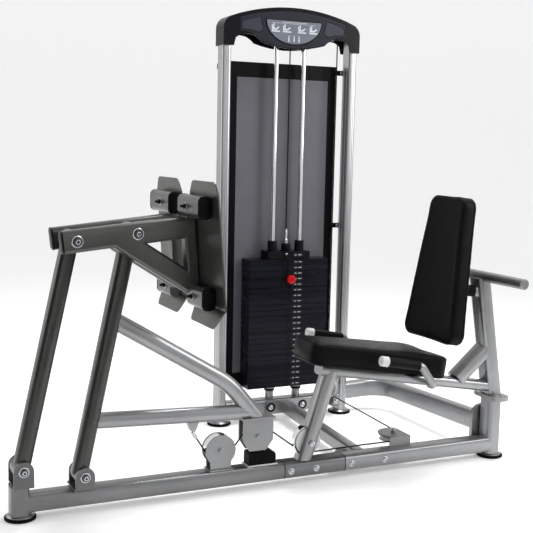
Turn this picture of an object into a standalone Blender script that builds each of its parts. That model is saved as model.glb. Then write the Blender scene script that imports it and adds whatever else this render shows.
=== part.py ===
"""Seated leg press machine with a selector weight stack.

Frame: X runs along the base rail from the foot-plate end to the seat end, Y runs from the rail
towards the weight tower, Z is up. The origin is on the floor, under the centre of the front foot.
All lengths are in metres.
"""
import math

import bmesh
import bpy
from mathutils import Matrix, Vector

GAP = 0.0003                    # clearance between pieces that touch

# base rail and posts (76 x 60 mm tube, the long side across the rail)
TUBE_WIDE = 0.076
TUBE_DEEP = 0.060
TUBE_ROUND = 0.017
RAIL_TOP = 0.085
RAIL_MID = RAIL_TOP - TUBE_DEEP / 2
FRONT_POST_X = -0.004
REAR_POST_X = 1.873
RAIL_JOINT_FRONT = 0.941
RAIL_JOINT_REAR = 1.191
FRONT_POST_TOP = 0.115
REAR_POST_TOP = 0.243
FOOT_TOP = 0.018
FOOT_RADIUS = 0.052

# four-bar linkage, points in the plane Y = 0
PIVOT_A = (0.0043, 0.1707)      # lower pivot of the front link
PIVOT_B = (0.2041, 0.1284)      # lower pivot of the rear link, the drive joint
PIVOT_C = (0.168, 0.914)        # upper pivot of the front link
PIVOT_D = (0.366, 0.9355)       # upper pivot of the rear link
LINK_WIDE = 0.070
LINK_DEEP = 0.054
LINK_ROUND = 0.024
REAR_LINK_SHIFT = -0.0090       # the rear link's tube meets its lower hub off centre
HUB_RADIUS = 0.031
BOLT_RADIUS = 0.010
LOOP_CLEARANCE = 0.0032         # open pivot at C, where the loop is closed only by the coupling
EAR_INNER = 0.0420
EAR_OUTER = 0.0500

# carriage
BEAM_INNER = 0.046
BEAM_OUTER = 0.096
BEAM_HEIGHT = 0.073
PANEL_TOP = (0.5595, 1.067)     # back face of the foot plate at its upper fold
PANEL_BOTTOM = (0.5875, 0.704)  # and at its lower fold
MOUNT_DEEP = 0.046

# drive arm
ARM_START = (0.305, 0.6455)
BRACE_START = (0.239, 0.3046)
ARM_PULLEY = (0.8375, 0.1929)
BASE_PULLEY = (0.6956, 0.1571)
CHEEK_INNER = 0.0175
CHEEK_OUTER = 0.0225
CABLE_R = 0.0028
WHEEL_HALF = 0.0120
AXLE_R = 0.0060

# seat
SEAT_TILT = math.atan(0.1485)   # the seat falls towards its rear
SEAT_FRONT_X = 1.020
SEAT_FRONT_TOP = 0.534
SEAT_LENGTH = 0.550
SEAT_THICK = 0.080
SEAT_TUBE_DEEP = 0.042
POST_PULLEY = (1.046, 0.150)
GRIP_Y = 0.283
BACK_TILT = math.atan((1.6226 - 1.5487) / (1.054 - 0.512))
BACK_BOTTOM = (1.5470, 0.500)   # lower front edge of the back pad
BACK_LENGTH = 0.560
BACK_THICK = 0.060

# weight tower
TOWER_Y = 0.805
TOWER_MID_X = 1.3225
UPRIGHT_X = (1.0205, 1.6245)
UPRIGHT_WIDE = 0.040
UPRIGHT_DEEP = 0.068
UPRIGHT_TOP = 1.705
CAP_BOTTOM = 1.642
CAP_TOP = 1.815
CAP_HALF = 0.3250
STACK_X = 1.328
STACK_WIDE = 0.382
STACK_DEEP = 0.0885
STACK_BOTTOM = 0.156
PLATE_PITCH = 0.025
PLATE_COUNT = 23
LIFTED_COUNT = 4
ROD_OFFSET = 0.066
ROD_RADIUS = 0.0115
HEAD_THICK = 0.034
CROSS_TOP = 0.098
TOWER_PULLEY = (0.760, 0.139)   # Y and Z of the lower tower wheel
TOWER_PULLEY_X = 1.560
TURN_PULLEY = (1.457, 0.062)    # X and Y of the flat turning wheel
TURN_Z = 0.1045
TOP_PULLEY_Z = 1.735

COLOURS = {
    "silver_paint": ((0.46, 0.47, 0.48), 0.38, 0.85),
    "grey_paint": ((0.26, 0.27, 0.28), 0.40, 0.80),
    "upright_silver": ((0.62, 0.64, 0.66), 0.30, 0.90),
    "black_plastic": ((0.025, 0.025, 0.027), 0.42, 0.0),
    "cover_plastic": ((0.11, 0.115, 0.13), 0.38, 0.0),
    "black_steel": ((0.018, 0.018, 0.020), 0.35, 0.4),
    "chrome": ((0.78, 0.79, 0.80), 0.10, 1.0),
    "zinc": ((0.55, 0.56, 0.57), 0.32, 0.9),
    "rubber": ((0.012, 0.012, 0.012), 0.75, 0.0),
    "vinyl": ((0.010, 0.010, 0.011), 0.48, 0.0),
    "foam_grip": ((0.015, 0.015, 0.015), 0.80, 0.0),
    "pulley_nylon": ((0.30, 0.31, 0.32), 0.50, 0.0),
    "smoked_panel": ((0.13, 0.13, 0.15), 0.30, 0.0),
    "red_plastic": ((0.60, 0.015, 0.012), 0.35, 0.0),
    "cable_black": ((0.015, 0.015, 0.015), 0.55, 0.0),
}


# ---------------------------------------------------------------- helpers

def clear_scene():
    for item in list(bpy.data.objects):
        bpy.data.objects.remove(item, do_unlink=True)


def material(name):
    found = bpy.data.materials.get(name)
    if found:
        return found
    colour, rough, metal = COLOURS[name]
    made = bpy.data.materials.new(name)
    made.use_nodes = True
    shader = made.node_tree.nodes["Principled BSDF"]
    shader.inputs["Base Color"].default_value = (*colour, 1.0)
    shader.inputs["Roughness"].default_value = rough
    shader.inputs["Metallic"].default_value = metal
    return made


def add_object(name, bm, slot):
    """Turn a bmesh into a named object with outward faces."""
    bmesh.ops.recalc_face_normals(bm, faces=bm.faces)
    mesh = bpy.data.meshes.new(name)
    bm.to_mesh(mesh)
    bm.free()
    mesh.materials.append(material(slot))
    mesh.shade_smooth()
    mesh.set_sharp_from_angle(angle=math.radians(32))
    made = bpy.data.objects.new(name, mesh)
    bpy.context.scene.collection.objects.link(made)
    return made


def arc(centre, radius, start, end, steps):
    """Points on an arc, angles in degrees, both ends included."""
    points = []
    for i in range(steps + 1):
        angle = math.radians(start + (end - start) * i / steps)
        points.append((centre[0] + radius * math.cos(angle), centre[1] + radius * math.sin(angle)))
    return points


def rounded_box_outline(wide, high, radius, steps=3):
    """A rounded rectangle about the origin, counter-clockwise."""
    points = []
    for sx, sy, start in ((1, 1, 0), (-1, 1, 90), (-1, -1, 180), (1, -1, 270)):
        corner = (sx * (wide / 2 - radius), sy * (high / 2 - radius))
        points += arc(corner, radius, start, start + 90, steps)
    return points


def sweep(name, path, section, slot, side=(0, 1, 0)):
    """Carry a closed section along a path. The section's first axis stays along `side`."""
    points = [Vector(p) for p in path]
    across = Vector(side).normalized()
    directions = [(b - a).normalized() for a, b in zip(points, points[1:])]
    bm = bmesh.new()
    rings = []
    for i, point in enumerate(points):
        before = directions[max(i - 1, 0)]
        after = directions[min(i, len(directions) - 1)]
        tangent = (before + after).normalized()
        up = tangent.cross(across).normalized()
        stretch = 1.0 / max(tangent.dot(after), 0.5)
        rings.append([bm.verts.new(point + across * u + up * (v * stretch)) for u, v in section])
    for low, high in zip(rings, rings[1:]):
        for i in range(len(section)):
            j = (i + 1) % len(section)
            bm.faces.new((low[i], low[j], high[j], high[i]))
    bm.faces.new(list(reversed(rings[0])))
    bm.faces.new(rings[-1])
    return add_object(name, bm, slot)


def xz_path(points, y=0.0):
    return [(x, y, z) for x, z in points]


def tube(name, path, slot, wide=TUBE_WIDE, deep=TUBE_DEEP, radius=TUBE_ROUND, side=(0, 1, 0),
         grow=0.0, steps=3):
    section = rounded_box_outline(wide + 2 * grow, deep + 2 * grow, radius + grow, steps)
    return sweep(name, path, section, slot, side)


def plate(name, outline, low, high, slot, plane="XZ"):
    """Extrude an outline between two levels of the axis that is normal to its plane."""
    place = {"XZ": lambda u, v, w: (u, w, v), "XY": lambda u, v, w: (u, v, w),
             "YZ": lambda u, v, w: (w, u, v)}[plane]
    bm = bmesh.new()
    bottom = [bm.verts.new(place(u, v, low)) for u, v in outline]
    top = [bm.verts.new(place(u, v, high)) for u, v in outline]
    count = len(outline)
    for i in range(count):
        j = (i + 1) % count
        bm.faces.new((bottom[i], bottom[j], top[j], top[i]))
    bm.faces.new(list(reversed(bottom)))
    bm.faces.new(top)
    return add_object(name, bm, slot)


def box(name, low, high, slot):
    outline = [(low[0], low[1]), (high[0], low[1]), (high[0], high[1]), (low[0], high[1])]
    return plate(name, outline, low[2], high[2], slot, "XY")


def turned(name, centre, axis, profile, slot, steps=20):
    """Turn a closed profile of (radius, height) points about an axis through `centre`."""
    direction = Vector(axis).normalized()
    rotation = direction.to_track_quat("Z", "Y").to_matrix()
    origin = Vector(centre)
    bm = bmesh.new()
    columns = []
    for i in range(steps):
        angle = 2 * math.pi * i / steps
        column = []
        for radius, height in profile:
            if radius == 0 and i:
                column.append(columns[0][len(column)])
                continue
            local = Vector((radius * math.cos(angle), radius * math.sin(angle), height))
            column.append(bm.verts.new(origin + rotation @ local))
        columns.append(column)
    count = len(profile)
    for i in range(steps):
        this, after = columns[i], columns[(i + 1) % steps]
        for k in range(count):
            n = (k + 1) % count
            corners = []
            for vert in (this[k], after[k], after[n], this[n]):
                if vert not in corners:
                    corners.append(vert)
            if len(corners) > 2:
                bm.faces.new(corners)
    return add_object(name, bm, slot)


def rod(name, start, end, radius, slot, steps=16):
    length = (Vector(end) - Vector(start)).length
    profile = [(0, 0), (radius, 0), (radius, length), (0, length)]
    return turned(name, start, Vector(end) - Vector(start), profile, slot, steps)


def combine(target, others, operation):
    """Apply EXACT Booleans to the target and remove the other objects."""
    for other in others:
        modifier = target.modifiers.new(operation.lower(), "BOOLEAN")
        modifier.operation = operation
        modifier.solver = "EXACT"
        modifier.object = other
    graph = bpy.context.evaluated_depsgraph_get()
    graph.update()
    result = bpy.data.meshes.new_from_object(target.evaluated_get(graph))
    target.modifiers.clear()
    old = target.data
    target.data = result
    bpy.data.meshes.remove(old)
    result.materials.clear()
    result.materials.append(bpy.data.materials[target["slot"]])
    tidy_mesh(result)
    for other in others:
        bpy.data.objects.remove(other, do_unlink=True)
    return target


def tidy_mesh(mesh):
    """Merge the tiny edges that a Boolean can leave, and refresh the shading."""
    bm = bmesh.new()
    bm.from_mesh(mesh)
    bmesh.ops.remove_doubles(bm, verts=bm.verts, dist=0.00002)
    bmesh.ops.dissolve_degenerate(bm, edges=bm.edges, dist=0.00002)
    for face in bm.faces:
        face.material_index = 0
    bm.to_mesh(mesh)
    bm.free()
    mesh.shade_smooth()
    mesh.set_sharp_from_angle(angle=math.radians(32))


def cut(target, *cutters):
    target["slot"] = target.data.materials[0].name
    return combine(target, cutters, "DIFFERENCE")


def union(target, *others):
    target["slot"] = target.data.materials[0].name
    return combine(target, others, "UNION")


def move_origin(item, point):
    """Put the object's origin on its joint's axis without moving the piece."""
    offset = Vector(point)
    item.data.transform(Matrix.Translation(-offset))
    item.location = offset


def on_line(start, end, share):
    return tuple(a + (b - a) * share for a, b in zip(start, end))


# ---------------------------------------------------------------- base frame

def front_post_tube(name, grow=0.0):
    return tube(name, [(FRONT_POST_X, 0, FOOT_TOP + GAP - grow), (FRONT_POST_X, 0, FRONT_POST_TOP + grow)],
                "silver_paint", grow=grow)


def rear_post_tube(name, grow=0.0):
    return tube(name, [(REAR_POST_X, 0, FOOT_TOP + GAP - grow), (REAR_POST_X, 0, REAR_POST_TOP + grow)],
                "silver_paint", grow=grow)


def rail_tube(name, x0, x1, grow=0.0):
    return tube(name, [(x0, 0, RAIL_MID), (x1, 0, RAIL_MID)], "silver_paint", grow=grow)


def make_rail():
    union(rail_tube("front_rail", FRONT_POST_X, RAIL_JOINT_FRONT - GAP), front_post_tube("post"))
    rail_tube("middle_rail", RAIL_JOINT_FRONT, RAIL_JOINT_REAR - GAP)
    union(rail_tube("rear_rail", RAIL_JOINT_REAR, REAR_POST_X), rear_post_tube("post"))


def make_foot(name, x, y):
    top = FOOT_TOP
    profile = [(0, 0), (FOOT_RADIUS - 0.003, 0), (FOOT_RADIUS, 0.003), (FOOT_RADIUS, 0.008),
               (FOOT_RADIUS - 0.004, 0.011), (0.040, 0.015), (0.036, top), (0, top)]
    turned(name, (x, y, 0), (0, 0, 1), profile, "rubber", 24)


def make_feet():
    make_foot("front_foot", 0.0, 0.0)
    make_foot("rear_foot", REAR_POST_X + 0.006, 0.0)
    make_foot("left_tower_foot", UPRIGHT_X[0], TOWER_Y)
    make_foot("right_tower_foot", UPRIGHT_X[1], TOWER_Y)


def make_clevis(name, pivot, base_z, reach):
    """A folded bracket: a base plate with two round-topped ears and holes for the pivot bolt."""
    x, z = pivot
    left, right = x - 0.0325, x + 0.0325
    low = base_z + GAP
    ear = [(left, low), (right, low)] + arc(pivot, 0.0325, 0, 180, 10)
    base = box(name, (x - reach, -EAR_OUTER, low), (x + reach, EAR_OUTER, low + 0.006), "grey_paint")
    ears = [plate("ear", ear, y0, y1, "grey_paint") for y0, y1 in
            ((-EAR_OUTER, -EAR_INNER), (EAR_INNER, EAR_OUTER))]
    union(base, *ears)
    cut(base, rod("hole", (x, -0.08, z), (x, 0.08, z), BOLT_RADIUS + 0.0006, "zinc"))


def make_pivot_bolt(name, pivot, grip, washer):
    """A through-bolt with a washer and a domed head on each side."""
    x, z = pivot
    face = grip + GAP
    half = [(BOLT_RADIUS, face), (washer, face), (washer, face + 0.003), (0.0125, face + 0.003),
            (0.0125, face + 0.009), (0.0085, face + 0.0115)]
    top = [(r, h) for r, h in half] + [(0, face + 0.0115)]
    bottom = [(r, -h) for r, h in reversed(half)]
    turned(name, (x, 0, z), (0, -1, 0), [(0, -face - 0.0115)] + bottom + top, "zinc", 16)


def make_lower_pivots():
    make_clevis("front_clevis", PIVOT_A, FRONT_POST_TOP, 0.0325)
    make_clevis("rear_clevis", PIVOT_B, RAIL_TOP, 0.0380)
    make_pivot_bolt("front_lower_bolt", PIVOT_A, EAR_OUTER, 0.0175)
    make_pivot_bolt("rear_lower_bolt", PIVOT_B, EAR_OUTER, 0.0175)


def make_cross_beam():
    """The slightly slanted tube from the rail to the tower, with its gusset and its bolted flange."""
    rail_end, tower_end = (1.278, 0.020), (1.331, 0.7625)
    slot = "grey_paint"
    beam = tube("cross_beam", [(*rail_end, 0.061), (*tower_end, 0.061)], slot, wide=0.050, deep=0.050,
                radius=0.008, side=(0, 0, 1))
    gusset = plate("gusset", [(1.150, 0.030), (1.275, 0.030), (1.290, 0.175)], 0.054, 0.060, slot, "XY")
    flange_outline = [(u + tower_end[0], v + 0.066) for u, v in rounded_box_outline(0.196, 0.062, 0.008)]
    flange = plate("flange", flange_outline, 0.7600, 0.7707 - GAP, slot)
    union(beam, gusset, flange)
    cut(beam, rail_tube("rail", 1.0, 1.5, GAP))


def make_curved_beam():
    """The tube that leaves the right upright, bends through a right angle and meets the rear post."""
    far_y, near_y, bend = 0.812, 0.0553, 0.120
    start_x, run_x = UPRIGHT_X[1] + UPRIGHT_WIDE / 2 + GAP, 1.8600
    flat = [(start_x, far_y)]
    flat += arc((run_x - bend, far_y - bend), bend, 90, 0, 8)
    flat.append((run_x, near_y - 0.001))
    lengths = [0.0]
    for a, b in zip(flat, flat[1:]):
        lengths.append(lengths[-1] + math.dist(a, b))
    tower_z, post_z = 0.100, 0.133
    path = [(x, y, tower_z + (post_z - tower_z) * s / lengths[-1]) for (x, y), s in zip(flat, lengths)]
    slot = "grey_paint"
    beam = tube("curved_beam", path, slot, wide=0.078, deep=0.050, radius=0.013, side=(0, 0, 1))
    centre = (REAR_POST_X - 0.012, 0.137)
    outline = [(centre[0] - 0.046, 0.074), (centre[0] + 0.046, 0.074)]
    outline += arc((centre[0], 0.160), 0.046, 0, 180, 12)
    flange = plate("flange", outline, TUBE_WIDE / 2 + GAP, 0.0553, slot)
    union(beam, flange)


# ---------------------------------------------------------------- seat frame

def seat_tube_z(x):
    return 0.3335 - 0.165 * (x - 1.600)


def seat_tube_top(x):
    return seat_tube_z(x) + SEAT_TUBE_DEEP / 2 / math.cos(math.atan(0.165))


def back_post_x(z):
    return 1.8583 - 0.1713 * (z - 0.3324)


def seat_tube_solid(name, grow=0.0):
    x0, x1 = 1.086, 1.858
    return tube(name, [(x0, 0, seat_tube_z(x0)), (x1, 0, seat_tube_z(x1))], "silver_paint",
                wide=0.064, deep=SEAT_TUBE_DEEP, radius=0.016, grow=grow)


def back_post_solid(name, grow=0.0):
    z0, z1 = REAR_POST_TOP + 0.016 + 2 * GAP, 0.735
    post = tube(name, [(back_post_x(z0 - 0.03), 0, z0 - 0.03), (back_post_x(z1), 0, z1)],
                "silver_paint", grow=grow)
    return cut(post, box("floor", (1.7, -0.1, 0.1), (2.0, 0.1, z0 - grow), "silver_paint"))


def make_post_flange():
    """Two bolted plates between the lower and the upper rear post."""
    outline = [(REAR_POST_X + u, v) for u, v in rounded_box_outline(0.078, 0.168, 0.034, 5)]
    low = REAR_POST_TOP + GAP
    whole = plate("post_flange", outline, low, low + 0.016, "silver_paint", "XY")
    holes = [rod("hole", (REAR_POST_X, y, 0.2), (REAR_POST_X, y, 0.3), 0.0055, "zinc", 12)
             for y in (-0.064, 0.064)]
    cut(whole, *holes)


def make_seat_frame():
    cut(seat_tube_solid("seat_tube"), back_post_solid("cutter", GAP))
    post = back_post_solid("back_post")
    bar_centre = (1.790, 0.739)
    half = 0.274
    bar = turned("bar", (bar_centre[0], 0, bar_centre[1]), (0, 1, 0),
                 [(0, -half), (0.017, -half), (0.0205, -half + 0.0035), (0.0205, half - 0.0035),
                  (0.017, half), (0, half)], "silver_paint", 20)
    union(post, bar, *back_pad_bracket())
    brace = tube("back_brace", [(1.694, 0, 0.3320), (1.842, 0, 0.4600)], "silver_paint",
                 wide=0.072, deep=0.056, radius=0.017)
    cut(brace, box("floor", (1.60, -0.1, 0.20), (1.80, 0.1, 0.3180), "silver_paint"))
    cut(brace, seat_tube_solid("cutter", GAP), back_post_solid("cutter", GAP))
    make_seat_post()


def back_frame_point(along, out, y=0.0):
    """A point in the back pad's frame: `along` from its lower edge, `out` behind its front face."""
    c, s = math.cos(BACK_TILT), math.sin(BACK_TILT)
    return (BACK_BOTTOM[0] + along * s + out * c, y, BACK_BOTTOM[1] + along * c - out * s)


def back_pad_bracket():
    """A short tube from the post to the plate that the back pad is screwed to."""
    start = back_frame_point(0.205, BACK_THICK + 0.004)
    end = (back_post_x(start[2] - 0.020), 0, start[2] - 0.020)
    arm = tube("arm", [start, end], "silver_paint", wide=0.050, deep=0.040, radius=0.008)
    corners = [(a, o) for a, o in ((0.110, BACK_THICK + GAP), (0.300, BACK_THICK + GAP),
                                   (0.300, BACK_THICK + 0.008), (0.110, BACK_THICK + 0.008))]
    outline = [back_frame_point(a, o) for a, o in corners]
    pad_plate = plate("pad_plate", [(x, z) for x, _, z in outline], -0.060, 0.060, "silver_paint")
    return arm, pad_plate


def make_seat_post():
    """The slanted front post of the seat. A slot through its foot holds the cable wheel."""
    slope = 0.314
    low, high = RAIL_TOP + GAP, 0.440
    foot_x = 1.029
    path = [(foot_x + slope * (z - RAIL_TOP), 0, z) for z in (low - 0.04, high)]
    post = tube("seat_post", path, "silver_paint", wide=0.070, deep=0.056, radius=0.024)
    x, z = POST_PULLEY
    wheel_room = rod("room", (x, -WHEEL_HALF - 0.0025, z), (x, WHEEL_HALF + 0.0025, z), 0.0560,
                     "zinc", 28)
    floor = box("floor", (0.8, -0.1, 0.0), (1.3, 0.1, low), "silver_paint")
    above = [(0.95, seat_tube_z(0.95)), (1.30, seat_tube_z(1.30)), (1.30, 0.60), (0.95, 0.60)]
    cut(post, plate("trim", above, -0.1, 0.1, "silver_paint"))
    cut(post, seat_tube_solid("cutter", GAP), floor, wheel_room)
    union(post, rod("axle", (x, -0.030, z), (x, 0.030, z), AXLE_R, "zinc", 12))
    union(post, rod("axle_head", (x, -0.044, z), (x, -0.020, z), 0.0095, "zinc", 12))


# ---------------------------------------------------------------- pads and handles

def pad_outline(length, half_rear, half_front, corner):
    """A tapered pad seen from above, from its wide end at u = 0 to its narrow end at u = length."""
    points = []
    for side in (1, -1):
        wide = [(corner, side * half_rear, 1), (length - corner, side * half_front, 2)]
        half = []
        for u, v, which in wide:
            start = 180 if which == 1 else 90
            half += arc((u, v - side * corner), corner, side * start, side * (start - 90), 5)
        points += half if side == 1 else list(reversed(half))
    return points


def make_pad(name, length, half_wide, half_narrow, thick, corner, to_world):
    """A tapered pad with a rounded front edge, built in its own frame."""
    edge = 0.012
    bm = bmesh.new()
    levels = [(thick, 0.0), (edge, 0.0), (edge * 0.3, edge * 0.3), (0.0, edge)]
    loops = []
    for depth, inset in levels:
        outline = pad_outline(length - 2 * inset, half_wide - inset, half_narrow - inset, corner - inset)
        loops.append([bm.verts.new(to_world(u + inset, v, depth)) for u, v in outline])
    count = len(loops[0])
    for low, high in zip(loops, loops[1:]):
        for i in range(count):
            j = (i + 1) % count
            bm.faces.new((low[i], low[j], high[j], high[i]))
    bm.faces.new(loops[0])
    bm.faces.new(loops[-1])
    return add_object(name, bm, "vinyl")


def seat_point(along, out, y=0.0):
    """A point in the seat's frame: `along` from its front edge, `out` below its top face."""
    c, s = math.cos(SEAT_TILT), math.sin(SEAT_TILT)
    return (SEAT_FRONT_X + along * c - out * s, y, SEAT_FRONT_TOP - along * s - out * c)


def make_seat():
    make_pad("seat_pad", SEAT_LENGTH, 0.168, 0.108, SEAT_THICK, 0.045,
             lambda u, v, w: seat_point(SEAT_LENGTH - u, w, v))
    make_pad("back_pad", BACK_LENGTH, 0.173, 0.122, BACK_THICK, 0.042,
             lambda u, v, w: back_frame_point(u, w, v))
    plate("seat_plate", under_pad(1.105, 1.360, GAP), -0.055, 0.055, "black_steel")


def pad_underside(x):
    return SEAT_FRONT_TOP - math.tan(SEAT_TILT) * (x - SEAT_FRONT_X) - SEAT_THICK / math.cos(SEAT_TILT)


def under_pad(x0, x1, play):
    """Outline of what fills the wedge between the seat tube and the pad, from x0 to x1."""
    return [(x0, seat_tube_top(x0) + GAP), (x1, seat_tube_top(x1) + GAP),
            (x1, pad_underside(x1) - play), (x0, pad_underside(x0) - play)]


def make_handles():
    """A flat cross bar under the pad, with a bent tube and a grip at each end."""
    bar_x = 1.4015
    bar = plate("handle_bar", under_pad(bar_x - 0.022, bar_x + 0.022, 0.001), -0.272, 0.272,
                "black_steel")
    arms = []
    rear, front = (1.347, 0.4675), (1.178, 0.4990)
    radius = 0.0135
    base = (bar_x, 0, (seat_tube_top(bar_x) + pad_underside(bar_x)) / 2)
    for sign in (-1, 1):
        route = [(base[0], sign * 0.255, base[2]), (base[0], sign * GRIP_Y, base[2]),
                 (rear[0], sign * GRIP_Y, rear[1]), (front[0] + 0.030, sign * GRIP_Y, front[1] - 0.0056)]
        arms.append(round_tube("arm", rounded_route(route, 0.017, 4), radius, "silver_paint", 12))
    union(bar, *arms)
    axis = Vector((rear[0] - front[0], 0, rear[1] - front[1]))
    length = axis.length - 0.011
    profile = [(0, 0), (0.0155, 0), (0.0190, 0.004), (0.0190, 0.026), (0.0165, 0.028),
               (0.0165, length - 0.002), (0.0150, length), (radius + 0.0008, length),
               (radius + 0.0008, 0.022), (0, 0.022)]
    turned("near_grip", (front[0], -GRIP_Y, front[1]), axis, profile, "foam_grip", 20)
    turned("far_grip", (front[0], GRIP_Y, front[1]), axis, profile, "foam_grip", 20)


def round_tube(name, points, radius, slot, sides=12):
    """A round tube along a route of points."""
    section = [(radius * math.cos(2 * math.pi * i / sides), radius * math.sin(2 * math.pi * i / sides))
               for i in range(sides)]
    bm = bmesh.new()
    rings = []
    normal = None
    for i, point in enumerate(points):
        before = (point - points[max(i - 1, 0)]).normalized()
        after = (points[min(i + 1, len(points) - 1)] - point).normalized()
        tangent = (before + after).normalized()
        if normal is None:
            normal = tangent.orthogonal().normalized()
        normal = (normal - tangent * normal.dot(tangent)).normalized()
        other = tangent.cross(normal)
        rings.append([bm.verts.new(point + normal * u + other * v) for u, v in section])
    for low, high in zip(rings, rings[1:]):
        for i in range(sides):
            j = (i + 1) % sides
            bm.faces.new((low[i], low[j], high[j], high[i]))
    bm.faces.new(list(reversed(rings[0])))
    bm.faces.new(rings[-1])
    return add_object(name, bm, slot)


def rounded_route(corners, radius, steps):
    """Points along a polyline whose inner corners are rounded to the given bend radius."""
    knots = [Vector(p) for p in corners]
    points = [knots[0]]
    for before, corner, after in zip(knots, knots[1:], knots[2:]):
        inward = (before - corner).normalized()
        outward = (after - corner).normalized()
        half = inward.angle(outward) / 2
        reach = radius / math.tan(half)
        middle = corner + (inward + outward).normalized() * (radius / math.sin(half))
        start = corner + inward * reach - middle
        end = corner + outward * reach - middle
        turn = start.angle(end)
        for i in range(steps + 1):
            share = i / steps
            spoke = (start * math.sin((1 - share) * turn) + end * math.sin(share * turn)) / math.sin(turn)
            points.append(middle + spoke)
    points.append(knots[-1])
    return points


# ---------------------------------------------------------------- moving linkage

def link_tube(name, low, high, grow=0.0):
    return tube(name, xz_path([low, high]), "silver_paint", LINK_WIDE, LINK_DEEP, LINK_ROUND, grow=grow)


def link_solid(name, low, high, upper_bore, shift=0.0):
    lower_hub_half, upper_hub_half = EAR_INNER - 0.0005, BEAM_INNER - 0.0006
    link = link_tube(name, (low[0] + shift, low[1]), high)
    hubs = [rod("hub", (p[0], -half, p[1]), (p[0], half, p[1]), HUB_RADIUS, "silver_paint", 24)
            for p, half in ((low, lower_hub_half), (high, upper_hub_half))]
    union(link, *hubs)
    bores = [rod("bore", (p[0], -0.1, p[1]), (p[0], 0.1, p[1]), r, "zinc", 24)
             for p, r in ((low, BOLT_RADIUS + 0.0006), (high, upper_bore))]
    return cut(link, *bores)


def rear_link_tube(name, grow):
    return link_tube(name, (PIVOT_B[0] + REAR_LINK_SHIFT, PIVOT_B[1]), PIVOT_D, grow)


def arm_path():
    """The drive tube: straight off the link, then a bend down to the wheel bracket."""
    corners = xz_path([ARM_START, (0.7290, 0.3922), (0.8390, 0.2590)])
    return rounded_route(corners, 0.300, 5)


def arm_solid(name, grow=0.0):
    return tube(name, arm_path(), "silver_paint", wide=0.052, deep=0.058, radius=0.022, grow=grow)


def make_links():
    front = link_solid("front_link", PIVOT_A, PIVOT_C, BOLT_RADIUS + LOOP_CLEARANCE)
    move_origin(front, (PIVOT_A[0], 0, PIVOT_A[1]))
    rear = link_solid("rear_link", PIVOT_B, PIVOT_D, BOLT_RADIUS + 0.0006, REAR_LINK_SHIFT)
    bracket_top = ARM_PULLEY[1] + 0.0635
    arm = arm_solid("arm_tube")
    ground = box("ground", (0.7, -0.1, 0.15), (1.0, 0.1, bracket_top + 0.008 + GAP), "zinc")
    cut(arm, rear_link_tube("cutter", GAP), ground)
    brace = tube("arm_brace", xz_path([BRACE_START, (0.800, 0.2829)]), "silver_paint", wide=0.052,
                 deep=0.054, radius=0.022)
    hanger = [(0.572, 0.270), (0.618, 0.270), (0.606, 0.240), (0.599, 0.232), (0.591, 0.232), (0.584, 0.240)]
    clamp = plate("clamp", hanger, -0.011, 0.011, "silver_paint")
    union(brace, clamp)
    bracket_room = box("room", (0.760, -0.1, 0.15), (0.95, 0.1, bracket_top + 0.008 + GAP), "zinc")
    cut(brace, rear_link_tube("cutter", GAP), arm_solid("cutter", GAP), bracket_room)
    bracket = make_arm_bracket(bracket_top)
    for item in (rear, arm, brace, bracket):
        move_origin(item, (PIVOT_B[0], 0, PIVOT_B[1]))


def make_arm_bracket(top):
    """A top plate with two tapered cheeks and the axle of the arm's wheel."""
    x, z = ARM_PULLEY
    outline = [(x - 0.0575, top + 0.001), (x - 0.0575, z - 0.012), (x - 0.032, z - 0.0512),
               (x + 0.032, z - 0.0512), (x + 0.0595, z - 0.014), (x + 0.0595, top + 0.001)]
    whole = box("arm_pulley_bracket", (x - 0.061, -0.032, top), (x + 0.063, 0.032, top + 0.008), "grey_paint")
    cheeks = [plate("cheek", outline, y0, y1, "grey_paint") for y0, y1 in
              ((-CHEEK_OUTER, -CHEEK_INNER), (CHEEK_INNER, CHEEK_OUTER))]
    union(whole, *cheeks, rod("axle", (x, -0.020, z), (x, 0.020, z), AXLE_R, "zinc", 12))
    head = rod("head", (x, -0.0305, z), (x, -0.020, z), 0.0095, "zinc", 12)
    nut = rod("nut", (x, 0.020, z), (x, 0.0305, z), 0.0095, "zinc", 12)
    return union(whole, head, nut)


def make_wheel(name, centre, axis, radius):
    """A grooved cable wheel with a hub bore. The groove's floor is where the cable runs."""
    floor = radius - CABLE_R - 0.0010
    rim = radius + 0.0055
    half = WHEEL_HALF
    bore = AXLE_R + 0.0006
    profile = [(bore, -half), (0.018, -half), (0.020, -half + 0.004), (rim - 0.012, -half + 0.004),
               (rim - 0.004, -half + 0.002), (rim, -half + 0.004), (floor, -0.0034), (floor, 0.0034),
               (rim, half - 0.004), (rim - 0.004, half - 0.002), (rim - 0.012, half - 0.004),
               (0.020, half - 0.004), (0.018, half), (bore, half)]
    wheel = turned(name, centre, axis, profile, "pulley_nylon", 24)
    move_origin(wheel, centre)


def make_wheels():
    for name, (x, z), radius in (("base_pulley", BASE_PULLEY, 0.045), ("arm_pulley", ARM_PULLEY, 0.045),
                                 ("seat_post_pulley", POST_PULLEY, 0.045)):
        make_wheel(name, (x, 0, z), (0, 1, 0), radius)
    make_wheel("turn_pulley", (*TURN_PULLEY, TURN_Z), (0, 0, 1), 0.050)
    make_wheel("tower_pulley", (TOWER_PULLEY_X, *TOWER_PULLEY), (1, 0, 0), 0.045)
    make_wheel("left_top_pulley", (STACK_X + 0.040, TOWER_Y, TOP_PULLEY_Z), (0, 1, 0), 0.040)
    make_wheel("right_top_pulley", (TOWER_PULLEY_X - 0.040, TOWER_Y, TOP_PULLEY_Z), (0, 1, 0), 0.040)


# ---------------------------------------------------------------- carriage

def beam_z(x):
    slope = (PIVOT_D[1] - PIVOT_C[1]) / (PIVOT_D[0] - PIVOT_C[0])
    return PIVOT_C[1] + slope * (x - PIVOT_C[0])


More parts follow.
